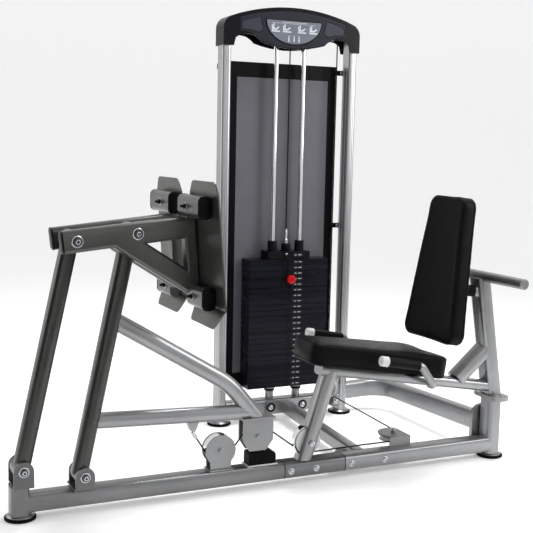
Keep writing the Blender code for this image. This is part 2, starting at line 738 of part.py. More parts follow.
def panel_x(z):
    """X of the foot plates' back face at a height."""
    share = (PANEL_TOP[1] - z) / (PANEL_TOP[1] - PANEL_BOTTOM[1])
    return PANEL_TOP[0] + (PANEL_BOTTOM[0] - PANEL_TOP[0]) * share


def carriage_side(sign):
    """One side of the carriage: beam, post, slanted strut and the two mounting tubes."""
    middle = sign * (BEAM_INNER + BEAM_OUTER) / 2
    slot = "grey_paint"
    wide = BEAM_OUTER - BEAM_INNER
    beam = tube("beam", xz_path([(0.1255, beam_z(0.1255)), (0.545, beam_z(0.545))], middle), slot,
                wide=wide, deep=BEAM_HEIGHT, radius=0.014)
    top, low = 1.020, 0.735
    post = tube("post", xz_path([(panel_x(top) - 0.0215, top), (panel_x(low) - 0.0215, low)], middle),
                slot, wide=wide, deep=0.040, radius=0.008)
    strut = tube("strut", xz_path([(0.300, 0.925), (0.557, 0.7625)], middle), slot, wide=wide,
                 deep=0.070, radius=0.014)
    mounts = []
    for z, inner, outer in ((1.0265, BEAM_INNER + 0.001, 0.240), (0.7320, BEAM_OUTER - 0.010, 0.226)):
        x = panel_x(z) - MOUNT_DEEP / 2 - 0.0010
        mounts.append(tube("mount", [(x, sign * inner, z), (x, sign * outer, z)], slot, wide=0.073,
                           deep=MOUNT_DEEP, radius=0.017, side=(0, 0, 1)))
    return beam, post, strut, mounts[0], mounts[1]


def make_carriage():
    near = carriage_side(-1)
    far = carriage_side(1)
    spacer = rod("spacer", (0.500, -0.070, beam_z(0.500)), (0.500, 0.070, beam_z(0.500)), 0.021,
                 "grey_paint", 20)
    frame = union(near[0], *near[1:])
    frame.name = "carriage_frame"
    other = union(far[0], *far[1:])
    union(frame, spacer, other)
    holes = [rod("hole", (x, -0.12, z), (x, 0.12, z), BOLT_RADIUS + 0.0005, "zinc", 20)
             for x, z in (PIVOT_C, PIVOT_D)]
    clearance = box("clearance", (panel_x(0.9), -0.3, 0.6), (0.75, 0.3, 1.1), "zinc")
    shear_to_panel(clearance)
    cut(frame, *holes, clearance)
    pivot = (PIVOT_D[0], 0, PIVOT_D[1])
    move_origin(frame, pivot)
    for name, point in (("front_upper_bolt", PIVOT_C), ("rear_upper_bolt", PIVOT_D)):
        make_pivot_bolt(name, point, BEAM_OUTER, 0.0195)
        move_origin(bpy.data.objects[name], pivot)
    for name, sign in (("near_foot_plate", -1), ("far_foot_plate", 1)):
        make_foot_plate(name, sign)
        move_origin(bpy.data.objects[name], pivot)


def shear_to_panel(item):
    """Lean a box so that its -X face lies along the foot plates' back face."""
    slope = (PANEL_BOTTOM[0] - PANEL_TOP[0]) / (PANEL_TOP[1] - PANEL_BOTTOM[1])
    for vert in item.data.vertices:
        vert.co.x += slope * (0.9 - vert.co.z) - GAP


def make_foot_plate(name, sign):
    """A 5 mm plate, bent back at its lower edge, with clipped and rounded corners."""
    thick = 0.005
    profile = [(0.5555, 1.109), PANEL_TOP, PANEL_BOTTOM, (0.5570, 0.644)]
    spans = [(0.073, 0.275), (0.043, 0.298), (0.043, 0.304), (0.069, 0.276)]
    stations = []
    for i, (place, span) in enumerate(zip(profile, spans)):
        if i in (0, 3):
            other, other_span = profile[1 if i == 0 else 2], spans[1 if i == 0 else 2]
            for share, inset in ((0.0, 0.012), (0.06, 0.005), (0.20, 0.001)):
                edge = (on_line(place, other, share),
                        (on_line(span, other_span, share)[0] + inset,
                         on_line(span, other_span, share)[1] - inset))
                stations.append(edge)
            if i == 3:
                stations[-3:] = reversed(stations[-3:])
        else:
            stations.append((place, span))
    bm = bmesh.new()
    rings = []
    for i, ((x, z), (low, high)) in enumerate(stations):
        ahead = Vector(stations[min(i + 1, len(stations) - 1)][0]) - Vector(stations[max(i - 1, 0)][0])
        normal = Vector((-ahead.y, ahead.x)).normalized()
        back = Vector((x, z))
        front = back + normal * thick
        rings.append([bm.verts.new((p.x, sign * y, p.y)) for p, y in
                      ((back, low), (back, high), (front, high), (front, low))])
    for low, high in zip(rings, rings[1:]):
        for i in range(4):
            j = (i + 1) % 4
            bm.faces.new((low[i], low[j], high[j], high[i]))
    bm.faces.new(rings[0])
    bm.faces.new(rings[-1])
    return add_object(name, bm, "black_steel")


# ---------------------------------------------------------------- wheel brackets, stop

def make_base_bracket():
    """Two round cheeks on a foot plate hold the first wheel above the rail."""
    x, z = BASE_PULLEY
    radius = 0.0560
    low = RAIL_TOP + GAP
    outline = [(x - 0.038, low), (x + 0.038, low)] + arc((x, z), radius, -45, 225, 22)
    whole = box("base_pulley_bracket", (x - 0.043, -0.030, low), (x + 0.043, 0.030, low + 0.005),
                "grey_paint")
    cheeks = [plate("cheek", outline, y0, y1, "grey_paint") for y0, y1 in
              ((-CHEEK_OUTER, -CHEEK_INNER), (CHEEK_INNER, CHEEK_OUTER))]
    axle = rod("axle", (x, -0.020, z), (x, 0.020, z), AXLE_R, "zinc", 12)
    head = rod("head", (x, -0.0305, z), (x, -0.020, z), 0.0095, "zinc", 12)
    nut = rod("nut", (x, 0.020, z), (x, 0.0305, z), 0.0095, "zinc", 12)
    union(whole, *cheeks, axle)
    union(whole, head, nut)


def make_stop_bumper():
    """A low rubber block on a thin base, just below the resting place of the arm's wheel bracket."""
    low = RAIL_TOP + GAP
    x0, x1, base_thick = 0.8030, 0.9090, 0.005
    outline = [(u + (x0 + x1) / 2, v) for u, v in rounded_box_outline(x1 - x0 + 0.010, 0.060, 0.004)]
    base = plate("stop_bumper", outline, low, low + base_thick, "rubber", "XY")
    top = ARM_PULLEY[1] - 0.0512 - 0.0044
    shape = [(x0, low + base_thick - 0.001), (x1, low + base_thick - 0.001)]
    shape += arc((x1 - 0.020, top - 0.020), 0.020, 0, 90, 5)
    shape += arc((x0 + 0.008, top - 0.008), 0.008, 90, 180, 4)
    union(base, plate("block", shape, -0.026, 0.026, "rubber"))


def make_turn_bracket():
    """A round-ended cover over the flat wheel, folded down to a foot on the rail."""
    x, y = TURN_PULLEY
    top = 0.1235
    outline = arc((x, y), 0.0610, 90, 243, 14) + [(x + 0.040, y - 0.0625), (x + 0.040, y + 0.030)]
    outline += arc((x + 0.016, y + 0.040), 0.024, 20, 90, 3)
    cover = plate("turn_pulley_bracket", outline, top - 0.004, top, "grey_paint", "XY")
    cheek = box("cheek", (x - 0.052, y - 0.0625, RAIL_TOP + GAP), (x + 0.040, y - 0.0575, top), "grey_paint")
    axle = rod("axle", (x, y, TURN_Z - WHEEL_HALF - 0.002), (x, y, top + 0.009), AXLE_R, "zinc", 12)
    nut = rod("nut", (x, y, top - 0.001), (x, y, top + 0.007), 0.0095, "zinc", 6)
    union(cover, cheek, axle)
    union(cover, nut)


# ---------------------------------------------------------------- weight tower

def make_base_crossmember():
    """The tower's lower tube, with the two sockets of the guide rods and the wheel's fork."""
    half = UPRIGHT_WIDE / 2 + GAP
    x0, x1 = UPRIGHT_X[0] + half, UPRIGHT_X[1] - half
    slot = "grey_paint"
    tube_z = (0.036 + CROSS_TOP) / 2
    whole = tube("base_crossmember", [(x0, TOWER_Y, tube_z), (x1, TOWER_Y, tube_z)], slot,
                 wide=0.068, deep=CROSS_TOP - 0.036, radius=0.010)
    sockets, holes = [], []
    for side in (-1, 1):
        x = STACK_X + side * ROD_OFFSET
        socket = turned("socket", (x, TOWER_Y, CROSS_TOP - 0.004), (0, 0, 1),
                        [(0, 0), (0.018, 0), (0.018, 0.050), (0.026, 0.052), (0.026, 0.0615), (0, 0.0615)], slot)
        sockets.append(socket)
        holes.append(rod("hole", (x, TOWER_Y, CROSS_TOP - 0.02), (x, TOWER_Y, 0.3), ROD_RADIUS + 0.0006, slot))
    y, z = TOWER_PULLEY
    fork = []
    for x in (-0.0180, 0.0130):
        outline = [(y - 0.022, z + 0.020), (y - 0.022, z - 0.030), (TOWER_Y - 0.010, 0.060),
                   (TOWER_Y - 0.010, z + 0.020)]
        fork.append(plate("fork", outline, TOWER_PULLEY_X + x, TOWER_PULLEY_X + x + 0.005, slot, "YZ"))
    axle = rod("axle", (TOWER_PULLEY_X - 0.024, y, z), (TOWER_PULLEY_X + 0.024, y, z), AXLE_R, "zinc", 12)
    union(whole, *sockets)
    notch = box("notch", (TOWER_PULLEY_X - 0.0145, 0.70, 0.030), (TOWER_PULLEY_X + 0.0145, 0.8145, 0.15), slot)
    union(whole, *fork)
    cut(whole, *holes, notch)
    union(whole, axle)


def make_uprights():
    for name, x in (("left_upright", UPRIGHT_X[0]), ("right_upright", UPRIGHT_X[1])):
        tube(name, [(x, TOWER_Y, FOOT_TOP + GAP), (x, TOWER_Y, UPRIGHT_TOP)], "upright_silver",
             wide=UPRIGHT_DEEP, deep=UPRIGHT_WIDE, radius=0.012, steps=4)


def make_guide_rods():
    for name, side in (("left_guide_rod", -1), ("right_guide_rod", 1)):
        x = STACK_X + side * ROD_OFFSET
        rod(name, (x, TOWER_Y, CROSS_TOP - 0.0195), (x, TOWER_Y, 1.6617), ROD_RADIUS, "chrome", 20)


def make_top_crossmember():
    """Two flat bars tie the uprights inside the cover; a floor between them holds the guide rods."""
    half = UPRIGHT_WIDE / 2 + GAP
    x0, x1 = UPRIGHT_X[0] + half, UPRIGHT_X[1] - half
    low, mid, high = 1.6620, 1.6980, 1.7460
    left, right = STACK_X - 0.108, STACK_X + 0.108
    slot = "black_steel"
    outline = [(x0, mid), (left - 0.014, mid), (left, low), (right, low), (right + 0.014, mid), (x1, mid),
               (x1, high), (x0, high)]
    whole = plate("top_crossmember", outline, TOWER_Y - 0.0200, TOWER_Y - 0.0145, slot)
    far_bar = plate("bar", outline, TOWER_Y + 0.0145, TOWER_Y + 0.0200, slot)
    floor = box("floor", (left + 0.006, TOWER_Y - 0.0175, low), (right - 0.006, TOWER_Y + 0.0175, 1.6820), slot)
    ends = [box("end", (x, TOWER_Y - 0.0175, mid), (x + 0.020, TOWER_Y + 0.0175, high), slot)
            for x in (x0, x1 - 0.020)]
    axles = [rod("axle", (x, TOWER_Y - 0.0170, TOP_PULLEY_Z), (x, TOWER_Y + 0.0170, TOP_PULLEY_Z), AXLE_R,
                 "zinc", 12) for x in (STACK_X + 0.040, TOWER_PULLEY_X - 0.040)]
    union(whole, far_bar, floor, *ends, *axles)
    cut(whole, rod("cable_hole", (STACK_X, TOWER_Y, 1.65), (STACK_X, TOWER_Y, 1.69), 0.0080, slot, 12))


def cap_outline(inset, bottom=None):
    """The top cover seen from the front: an arch with a shallow crown and scalloped underside."""
    half = CAP_HALF - inset
    crown = CAP_TOP - inset
    shoulder = 0.052
    side_top = 1.714
    points = [(half, CAP_BOTTOM if bottom is None else bottom), (half, side_top)]
    corner = (half - shoulder, side_top)
    rise = crown - (side_top + shoulder)
    points += arc(corner, shoulder, 15, 75, 4)
    for i in range(1, 9):
        share = i / 9
        x = (half - shoulder * 0.75) * (1 - share)
        points.append((x, crown - rise * (1 - share) ** 2))
    points.append((0.0, crown))
    mirrored = [(-x, z) for x, z in reversed(points[:-1])]
    whole = points + mirrored
    if bottom is None:
        whole += scallops(half)
    return [(TOWER_MID_X + x, z) for x, z in whole]


def scallops(half):
    """The lower edge from left to right: a leg, an arch, the middle bulge, an arch, a leg."""
    leg = half - 0.047
    left = [(-leg, CAP_BOTTOM)]
    for i in range(1, 6):
        angle = math.pi * i / 6
        left.append((-leg + 0.062 * (1 - math.cos(angle)), CAP_BOTTOM + 0.014 + 0.038 * math.sin(angle)))
    bulge = [(-0.150 + 0.300 * i / 8, CAP_BOTTOM - 0.001 + 0.022 * ((i - 4) / 4) ** 2) for i in range(9)]
    right = [(-x, z) for x, z in reversed(left)]
    return left + bulge + right


def make_top_cover():
    """A hollow moulded cover, open below, over the uprights' tops and the upper wheels."""
    front, back = TOWER_Y - 0.045, TOWER_Y + 0.045
    wall = 0.0025
    cover = plate("top_cover", cap_outline(0.0), front, back, "cover_plastic")
    hollow = plate("hollow", cap_outline(wall, 1.5), front + 2 * wall, back - 2 * wall, "cover_plastic")
    cut(cover, hollow)
    placard = [(TOWER_MID_X + x, z) for x, z in
               [(-0.130, 1.758), (0.130, 1.758)] + arc((0.0, 1.758), 0.130, 0, -180, 16)[1:-1]]
    squash = [(x, 1.758 + (z - 1.758) * 0.74) for x, z in placard]
    plate("cover_placard", list(reversed(squash)), front - 0.0035, front - GAP, "smoked_panel")


def make_rear_shroud():
    """The guard behind the stack: a thin panel in a thicker border, with four fixing tabs."""
    x0, x1 = TOWER_MID_X - 0.260, TOWER_MID_X + 0.260
    z0, z1 = 0.150, 1.585
    low = TOWER_Y + STACK_DEEP / 2 + 0.0035
    shroud = box("rear_shroud", (x0, low, z0), (x1, low + 0.012, z1), "black_plastic")
    side_rim, end_rim = 0.038, 0.064
    for y0, y1 in ((low - 0.001, low + 0.003), (low + 0.009, low + 0.013)):
        cut(shroud, box("recess", (x0 + side_rim, y0, z0 + end_rim), (x1 - side_rim, y1, z1 - end_rim),
                        "black_plastic"))
    tabs = []
    back = TOWER_Y + UPRIGHT_DEEP / 2 + GAP
    for z in (0.21, 0.86, 1.548):
        for side in (-1, 1):
            ends = sorted((TOWER_MID_X + side * 0.2500, TOWER_MID_X + side * 0.3130))
            tabs.append(box("tab", (ends[0], low + 0.002, z), (ends[1], low + 0.008, z + 0.022), "black_plastic"))
            feet = sorted((TOWER_MID_X + side * 0.2885, TOWER_MID_X + side * 0.3130))
            tabs.append(box("tab_foot", (feet[0], back, z), (feet[1], low + 0.004, z + 0.022), "black_plastic"))
    union(shroud, *tabs)


# ---------------------------------------------------------------- weight stack

def stack_block(name, bottom, count, holes):
    """Weight plates on a shared core: each plate is a slab, with a groove up to the next one."""
    groove, depth = 0.0016, 0.004
    x0, x1 = STACK_X - STACK_WIDE / 2, STACK_X + STACK_WIDE / 2
    y0, y1 = TOWER_Y - STACK_DEEP / 2, TOWER_Y + STACK_DEEP / 2
    bm = bmesh.new()
    rings = []
    for i in range(count):
        low = bottom + i * PLATE_PITCH
        high = low + PLATE_PITCH - groove
        levels = [(low, 0.0), (high, 0.0)]
        if i < count - 1:
            levels += [(high, depth), (low + PLATE_PITCH, depth)]
        else:
            levels[1] = (low + PLATE_PITCH - GAP, 0.0)
        for z, inset in levels:
            rings.append([bm.verts.new(p) for p in ((x0 + inset, y0 + inset, z), (x1 - inset, y0 + inset, z),
                                                    (x1 - inset, y1 - inset, z), (x0 + inset, y1 - inset, z))])
    for low, high in zip(rings, rings[1:]):
        for i in range(4):
            j = (i + 1) % 4
            bm.faces.new((low[i], low[j], high[j], high[i]))
    bm.faces.new(rings[0])
    bm.faces.new(rings[-1])
    block = add_object(name, bm, "black_steel")
    return cut(block, *[rod("hole", (x, y, 0.1), (x, y, 0.9), r, "zinc", 16) for x, y, r in holes])


def rod_holes():
    return [(STACK_X + side * ROD_OFFSET, TOWER_Y, ROD_RADIUS + 0.0020) for side in (-1, 1)]


def pin_height():
    return STACK_BOTTOM + (PLATE_COUNT - LIFTED_COUNT + 0.5) * PLATE_PITCH


def make_stack():
    resting = PLATE_COUNT - LIFTED_COUNT
    centre = (STACK_X, TOWER_Y, 0.0150)
    stack_block("resting_plates", STACK_BOTTOM, resting, rod_holes() + [centre])
    lifted_bottom = STACK_BOTTOM + resting * PLATE_PITCH
    lifted = stack_block("lifted_plates", lifted_bottom, LIFTED_COUNT, rod_holes() + [centre])
    top = STACK_BOTTOM + PLATE_COUNT * PLATE_PITCH
    pin_z = pin_height()
    front = TOWER_Y - STACK_DEEP / 2
    cut(lifted, rod("pin_hole", (STACK_X, front - 0.01, pin_z), (STACK_X, TOWER_Y + 0.030, pin_z), 0.0056,
                    "zinc", 12))
    head = box("head_plate", (STACK_X - 0.102, TOWER_Y - 0.040, top + GAP),
               (STACK_X + 0.102, TOWER_Y + 0.040, top + HEAD_THICK), "black_steel")
    collars = [rod("collar", (STACK_X + side * ROD_OFFSET, TOWER_Y, top + HEAD_THICK - 0.002),
                   (STACK_X + side * ROD_OFFSET, TOWER_Y, top + HEAD_THICK + 0.030), 0.021, "zinc", 20)
               for side in (-1, 1)]
    stem = rod("stem", (STACK_X, TOWER_Y, 0.230), (STACK_X, TOWER_Y, top + HEAD_THICK + 0.034), 0.0125,
               "zinc", 16)
    union(head, *collars, stem)
    holes = [rod("hole", (x, y, top - 0.01), (x, y, top + 0.1), r, "zinc", 16) for x, y, r in rod_holes()]
    holes.append(rod("pin_hole", (STACK_X, TOWER_Y - 0.03, pin_z), (STACK_X, TOWER_Y + 0.03, pin_z), 0.0056,
                     "zinc", 12))
    cut(head, *holes)
    fitting_base = top + HEAD_THICK + 0.034 + GAP
    turned("cable_fitting", (STACK_X, TOWER_Y, fitting_base), (0, 0, 1),
           [(0, 0), (0.0105, 0), (0.0105, 0.016), (0.0075, 0.020), (0.0075, 0.050), (0.0050, 0.062), (0, 0.062)],
           "chrome", 16)
    make_selector_pin(front, pin_z)


def make_selector_pin(front, z):
    face = front - 0.0025
    length = TOWER_Y + 0.022 - face
    profile = [(0, 0), (0.0045, 0.004), (0.0045, length), (0.008, length), (0.009, length + 0.008),
               (0.0185, length + 0.010), (0.0205, length + 0.016), (0.0205, length + 0.024),
               (0.0170, length + 0.030), (0, length + 0.0315)]
    pin = turned("selector_pin", (STACK_X, TOWER_Y + 0.022, z), (0, -1, 0), profile, "red_plastic", 20)
    move_origin(pin, (STACK_X, front, z))


# ---------------------------------------------------------------- cable

def cable_node(name, points):
    """A steel cable as a curve with a round section and closed ends."""
    curve = bpy.data.curves.new(name, "CURVE")
    curve.dimensions = "3D"
    curve.bevel_depth = CABLE_R
    curve.bevel_resolution = 2
    curve.use_fill_caps = True
    spline = curve.splines.new("POLY")
    spline.points.add(len(points) - 1)
    for point, place in zip(spline.points, points):
        point.co = (*place, 1.0)
    curve.materials.append(material("cable_black"))
    made = bpy.data.objects.new(name, curve)
    bpy.context.scene.collection.objects.link(made)


def tangent_angle(centre, radius, point, turn):
    """Angle on a circle where the line from an outside point touches it; turn is +1 or -1."""
    away = (point[0] - centre[0], point[1] - centre[1])
    reach = math.hypot(*away)
    return math.atan2(away[1], away[0]) + turn * math.acos(radius / reach)


def crossing_angles(first, r1, second, r2):
    """Where a taut cable leaves the underside of one wheel and meets the upper side of the next."""
    away = (second[0] - first[0], second[1] - first[1])
    reach = math.hypot(*away)
    heading = math.atan2(away[1], away[0])
    lean = math.acos((r1 + r2) / reach)
    return heading - lean, heading - lean + math.pi


def wrap(centre, radius, start, end, steps):
    return [(centre[0] + radius * math.cos(start + (end - start) * i / steps),
             centre[1] + radius * math.sin(start + (end - start) * i / steps)) for i in range(steps + 1)]


def make_cables():
    """The drive cable from the arm's clamp to the upper wheels, and its end on the stack."""
    clamp = (0.5955, 0.2315 - CABLE_R)
    leave_base, meet_arm = crossing_angles(BASE_PULLEY, 0.045, ARM_PULLEY, 0.045)
    full = 2 * math.pi
    first = tangent_angle(BASE_PULLEY, 0.045, clamp, 1)
    base = wrap(BASE_PULLEY, 0.045, first, full + leave_base, 10)
    route = xz_path([clamp] + base)
    arm_in = math.pi + leave_base
    arm_out = second_crossing(ARM_PULLEY, 0.045, POST_PULLEY, 0.045)
    route += xz_path(wrap(ARM_PULLEY, 0.045, arm_in, arm_out, 8))
    route += xz_path(wrap(POST_PULLEY, 0.045, math.pi + arm_out, 1.5 * math.pi, 5))
    x, y = TURN_PULLEY
    lower = POST_PULLEY[1] - 0.045
    tower_foot = (TOWER_PULLEY_X, TOWER_PULLEY[0])
    leave_turn = tangent_angle((x, y), 0.050, tower_foot, -1)
    turn = wrap((x, y), 0.050, -0.5 * math.pi, leave_turn, 6)
    rail_y = y - 0.050
    route += [(1.16, rail_y * 0.4, lower), (1.30, rail_y, TURN_Z)]
    route += [(px, py, TURN_Z) for px, py in turn]
    tower_low = TOWER_PULLEY[1] - 0.045
    bottom = [(TOWER_PULLEY_X, py, pz) for py, pz in wrap(TOWER_PULLEY, 0.045, -0.5 * math.pi, 0.0, 5)]
    route += [(on_line((turn[-1][0], turn[-1][1], TURN_Z), bottom[0], 0.5)[0], 0.40, 0.1000), *bottom]
    right = (TOWER_PULLEY_X - 0.040, TOP_PULLEY_Z)
    left = (STACK_X + 0.040, TOP_PULLEY_Z)
    route += [(px, TOWER_Y, pz) for px, pz in wrap(right, 0.040, 0.0, 0.5 * math.pi, 5)]
    route += [(px, TOWER_Y, pz) for px, pz in wrap(left, 0.040, 0.5 * math.pi, math.pi, 5)]
    route.append((STACK_X, TOWER_Y, 1.640))
    cable_node("drive_cable", route)
    top = STACK_BOTTOM + PLATE_COUNT * PLATE_PITCH + HEAD_THICK + 0.034 + 0.062 + 2 * GAP
    cable_node("stack_cable", [(STACK_X, TOWER_Y, top), (STACK_X, TOWER_Y, 1.640 - GAP)])


def second_crossing(first, r1, second, r2):
    """Angle where the cable leaves the far side of the upper wheel for the lower side of the next."""
    away = (second[0] - first[0], second[1] - first[1])
    reach = math.hypot(*away)
    return math.atan2(away[1], away[0]) + math.acos((r1 + r2) / reach)


def main():
    clear_scene()
    make_rail()
    make_feet()
    make_lower_pivots()
    make_cross_beam()
    make_curved_beam()
    make_post_flange()
    make_seat_frame()
    make_seat()
    make_handles()
    make_links()
    make_wheels()
    make_carriage()
    make_base_bracket()
    make_stop_bumper()
    make_turn_bracket()
    make_base_crossmember()
    make_uprights()
    make_guide_rods()
    make_top_crossmember()
    make_top_cover()
    make_rear_shroud()
    make_stack()
    make_cables()


main()
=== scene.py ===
"""Seated leg press machine: materials, upholstery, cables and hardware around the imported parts."""

import math

import bmesh
import bpy
import numpy as np
from mathutils import Matrix, Vector
from mathutils.bvhtree import BVHTree
from mathutils.kdtree import KDTree


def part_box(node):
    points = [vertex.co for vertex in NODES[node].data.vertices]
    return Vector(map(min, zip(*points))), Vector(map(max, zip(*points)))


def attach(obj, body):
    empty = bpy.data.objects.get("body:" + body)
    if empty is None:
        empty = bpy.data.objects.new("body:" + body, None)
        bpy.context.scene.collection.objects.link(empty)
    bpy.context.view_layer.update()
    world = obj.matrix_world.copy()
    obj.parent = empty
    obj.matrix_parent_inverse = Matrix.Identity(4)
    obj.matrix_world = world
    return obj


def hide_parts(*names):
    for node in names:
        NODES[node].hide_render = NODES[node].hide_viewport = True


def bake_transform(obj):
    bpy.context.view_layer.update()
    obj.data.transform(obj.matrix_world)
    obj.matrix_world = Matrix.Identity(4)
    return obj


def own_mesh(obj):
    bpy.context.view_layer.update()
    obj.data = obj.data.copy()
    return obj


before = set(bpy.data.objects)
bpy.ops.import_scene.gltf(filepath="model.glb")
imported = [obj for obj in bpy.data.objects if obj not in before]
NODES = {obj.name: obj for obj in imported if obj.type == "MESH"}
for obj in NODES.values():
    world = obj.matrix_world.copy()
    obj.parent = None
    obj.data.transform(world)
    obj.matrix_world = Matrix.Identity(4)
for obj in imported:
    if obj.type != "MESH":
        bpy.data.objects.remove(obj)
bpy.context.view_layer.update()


# ---------------------------------------------------------------- camera, stage and light

def make_camera():
    camera = bpy.data.objects.new("camera", bpy.data.cameras.new("camera"))
    bpy.context.scene.collection.objects.link(camera)
    camera.matrix_world = Matrix(((0.9078, 0.0336, -0.4180, -0.5870),
                                  (-0.4188, 0.1237, -0.8996, -3.1650),
                                  (0.0215, 0.9918, 0.1264, 1.2230),
                                  (0.0, 0.0, 0.0, 1.0)))
    camera.data.lens = 67.083
    camera.data.sensor_width = 36.0
    camera.data.shift_x = -0.00788
    camera.data.shift_y = 0.01276
    bpy.context.scene.camera = camera


def make_light(name, place, target, size, power):
    data = bpy.data.lights.new(name, "AREA")
    data.shape = "RECTANGLE"
    data.size, data.size_y = size
    data.energy = power
    light = bpy.data.objects.new(name, data)
    bpy.context.scene.collection.objects.link(light)
    light.location = place
    light.rotation_euler = (Vector(target) - Vector(place)).to_track_quat("-Z", "Y").to_euler()


def make_stage():
    """A round pale floor that curves up into a wall, open above, and a bright world over it."""
    scene = bpy.context.scene
    scene.view_settings.view_transform = "Standard"
    scene.view_settings.look = "None"
    world = bpy.data.worlds.new("studio")
    scene.world = world
    world.use_nodes = True
    world.node_tree.nodes["Background"].inputs["Color"].default_value = (1.0, 1.0, 1.0, 1.0)
    world.node_tree.nodes["Background"].inputs["Strength"].default_value = 0.60
    profile = [(0.0, -0.0008), (6.5, -0.0008)]
    profile += [(6.5 + 4.0 * math.sin(a), 4.0 - 4.0 * math.cos(a)) for a in np.linspace(0.08, 1.5708, 16)]
    profile += [(10.5, 7.5)]
    shape = Shape()
    shape.lathe((0.9, 0.3, 0.0), (0, 0, 1), profile, 72, closed=False)
    mat, _, bsdf = new_material("stage_white")
    bsdf.inputs["Base Color"].default_value = (0.93, 0.93, 0.93, 1.0)
    bsdf.inputs["Roughness"].default_value = 0.9
    bsdf.inputs["Specular IOR Level"].default_value = 0.1
    bsdf.inputs["Emission Color"].default_value = (1.0, 1.0, 1.0, 1.0)
    bsdf.inputs["Emission Strength"].default_value = 0.16
    floor = shape.object("stage_floor", mat, 60)
    make_light("overhead", (1.9, 0.5, 3.5), (1.3, 0.2, 0.6), (1.9, 1.2), 105)
    make_light("right_box", (3.9, -1.9, 2.1), (1.6, 0.1, 0.6), (1.2, 2.0), 62)
    make_light("left_strip", (-2.6, 3.2, 2.2), (1.0, 0.6, 1.0), (0.7, 3.0), 26)
    make_flag("floor_flag", (2.2, -4.2, 0.004), (0, 0, 1), (8.0, 5.0))
    make_flag("left_flag", (-4.6, -1.2, 2.0), (1, 0, 0), (4.5, 4.0))


def make_flag(name, place, facing, size):
    """A dark studio card that the camera doesn't see: it gives the metal something dark to reflect."""
    shape = Shape()
    turn = frame_of(facing)
    half_u, half_v = size[0] / 2, size[1] / 2
    corners = [(-half_u, -half_v), (half_u, -half_v), (half_u, half_v), (-half_u, half_v)]
    if abs(facing[2]) < 0.5:
        corners = [(v, u) for u, v in corners]
    shape.bm.faces.new([shape.bm.verts.new(Vector(place) + turn @ Vector((u, v, 0))) for u, v in corners])
    mat, _, bsdf = new_material(name)
    bsdf.inputs["Base Color"].default_value = (0.03, 0.03, 0.03, 1.0)
    bsdf.inputs["Roughness"].default_value = 0.9
    card = shape.object(name, mat)
    card.visible_camera = False
    card.visible_diffuse = False
    card.visible_shadow = False


# ---------------------------------------------------------------- mesh building

def rounded_box(wide, deep, radius, steps):
    """A rounded rectangle about the origin, anticlockwise."""
    points = []
    for cx, cy, start in ((1, 1, 0), (-1, 1, 90), (-1, -1, 180), (1, -1, 270)):
        for i in range(steps + 1):
            angle = math.radians(start + 90 * i / steps)
            points.append((cx * (wide / 2 - radius) + radius * math.cos(angle),
                           cy * (deep / 2 - radius) + radius * math.sin(angle)))
    return points


def circle(radius, sides):
    return [(radius * math.cos(2 * math.pi * i / sides), radius * math.sin(2 * math.pi * i / sides))
            for i in range(sides)]


def arc(centre, radius, start, end, steps):
    """Points on an arc, in degrees."""
    made = []
    for i in range(steps + 1):
        angle = math.radians(start + (end - start) * i / steps)
        made.append((centre[0] + radius * math.cos(angle), centre[1] + radius * math.sin(angle)))
    return made


def frame_of(axis):
    """A rotation whose Z is the axis."""
    return Vector(axis).normalized().to_track_quat("Z", "Y").to_matrix()


def shifted(outline, u, v):
    """The outline moved by (u, v)."""
    return [(u + a, v + b) for a, b in outline]


def in_xz(points, y=0.0):
    """Points of an (x, z) outline set in space at a given y."""
    return [Vector((x, y, z)) for x, z in points]


def walked(path):
    """Each point of an open path, with the direction it is reached in and its mean direction."""
    for i, point in enumerate(path):
        before = (point - path[i - 1]).normalized() if i else (path[1] - point).normalized()
        after = (path[i + 1] - point).normalized() if i < len(path) - 1 else before
        yield point, before, (before + after).normalized()


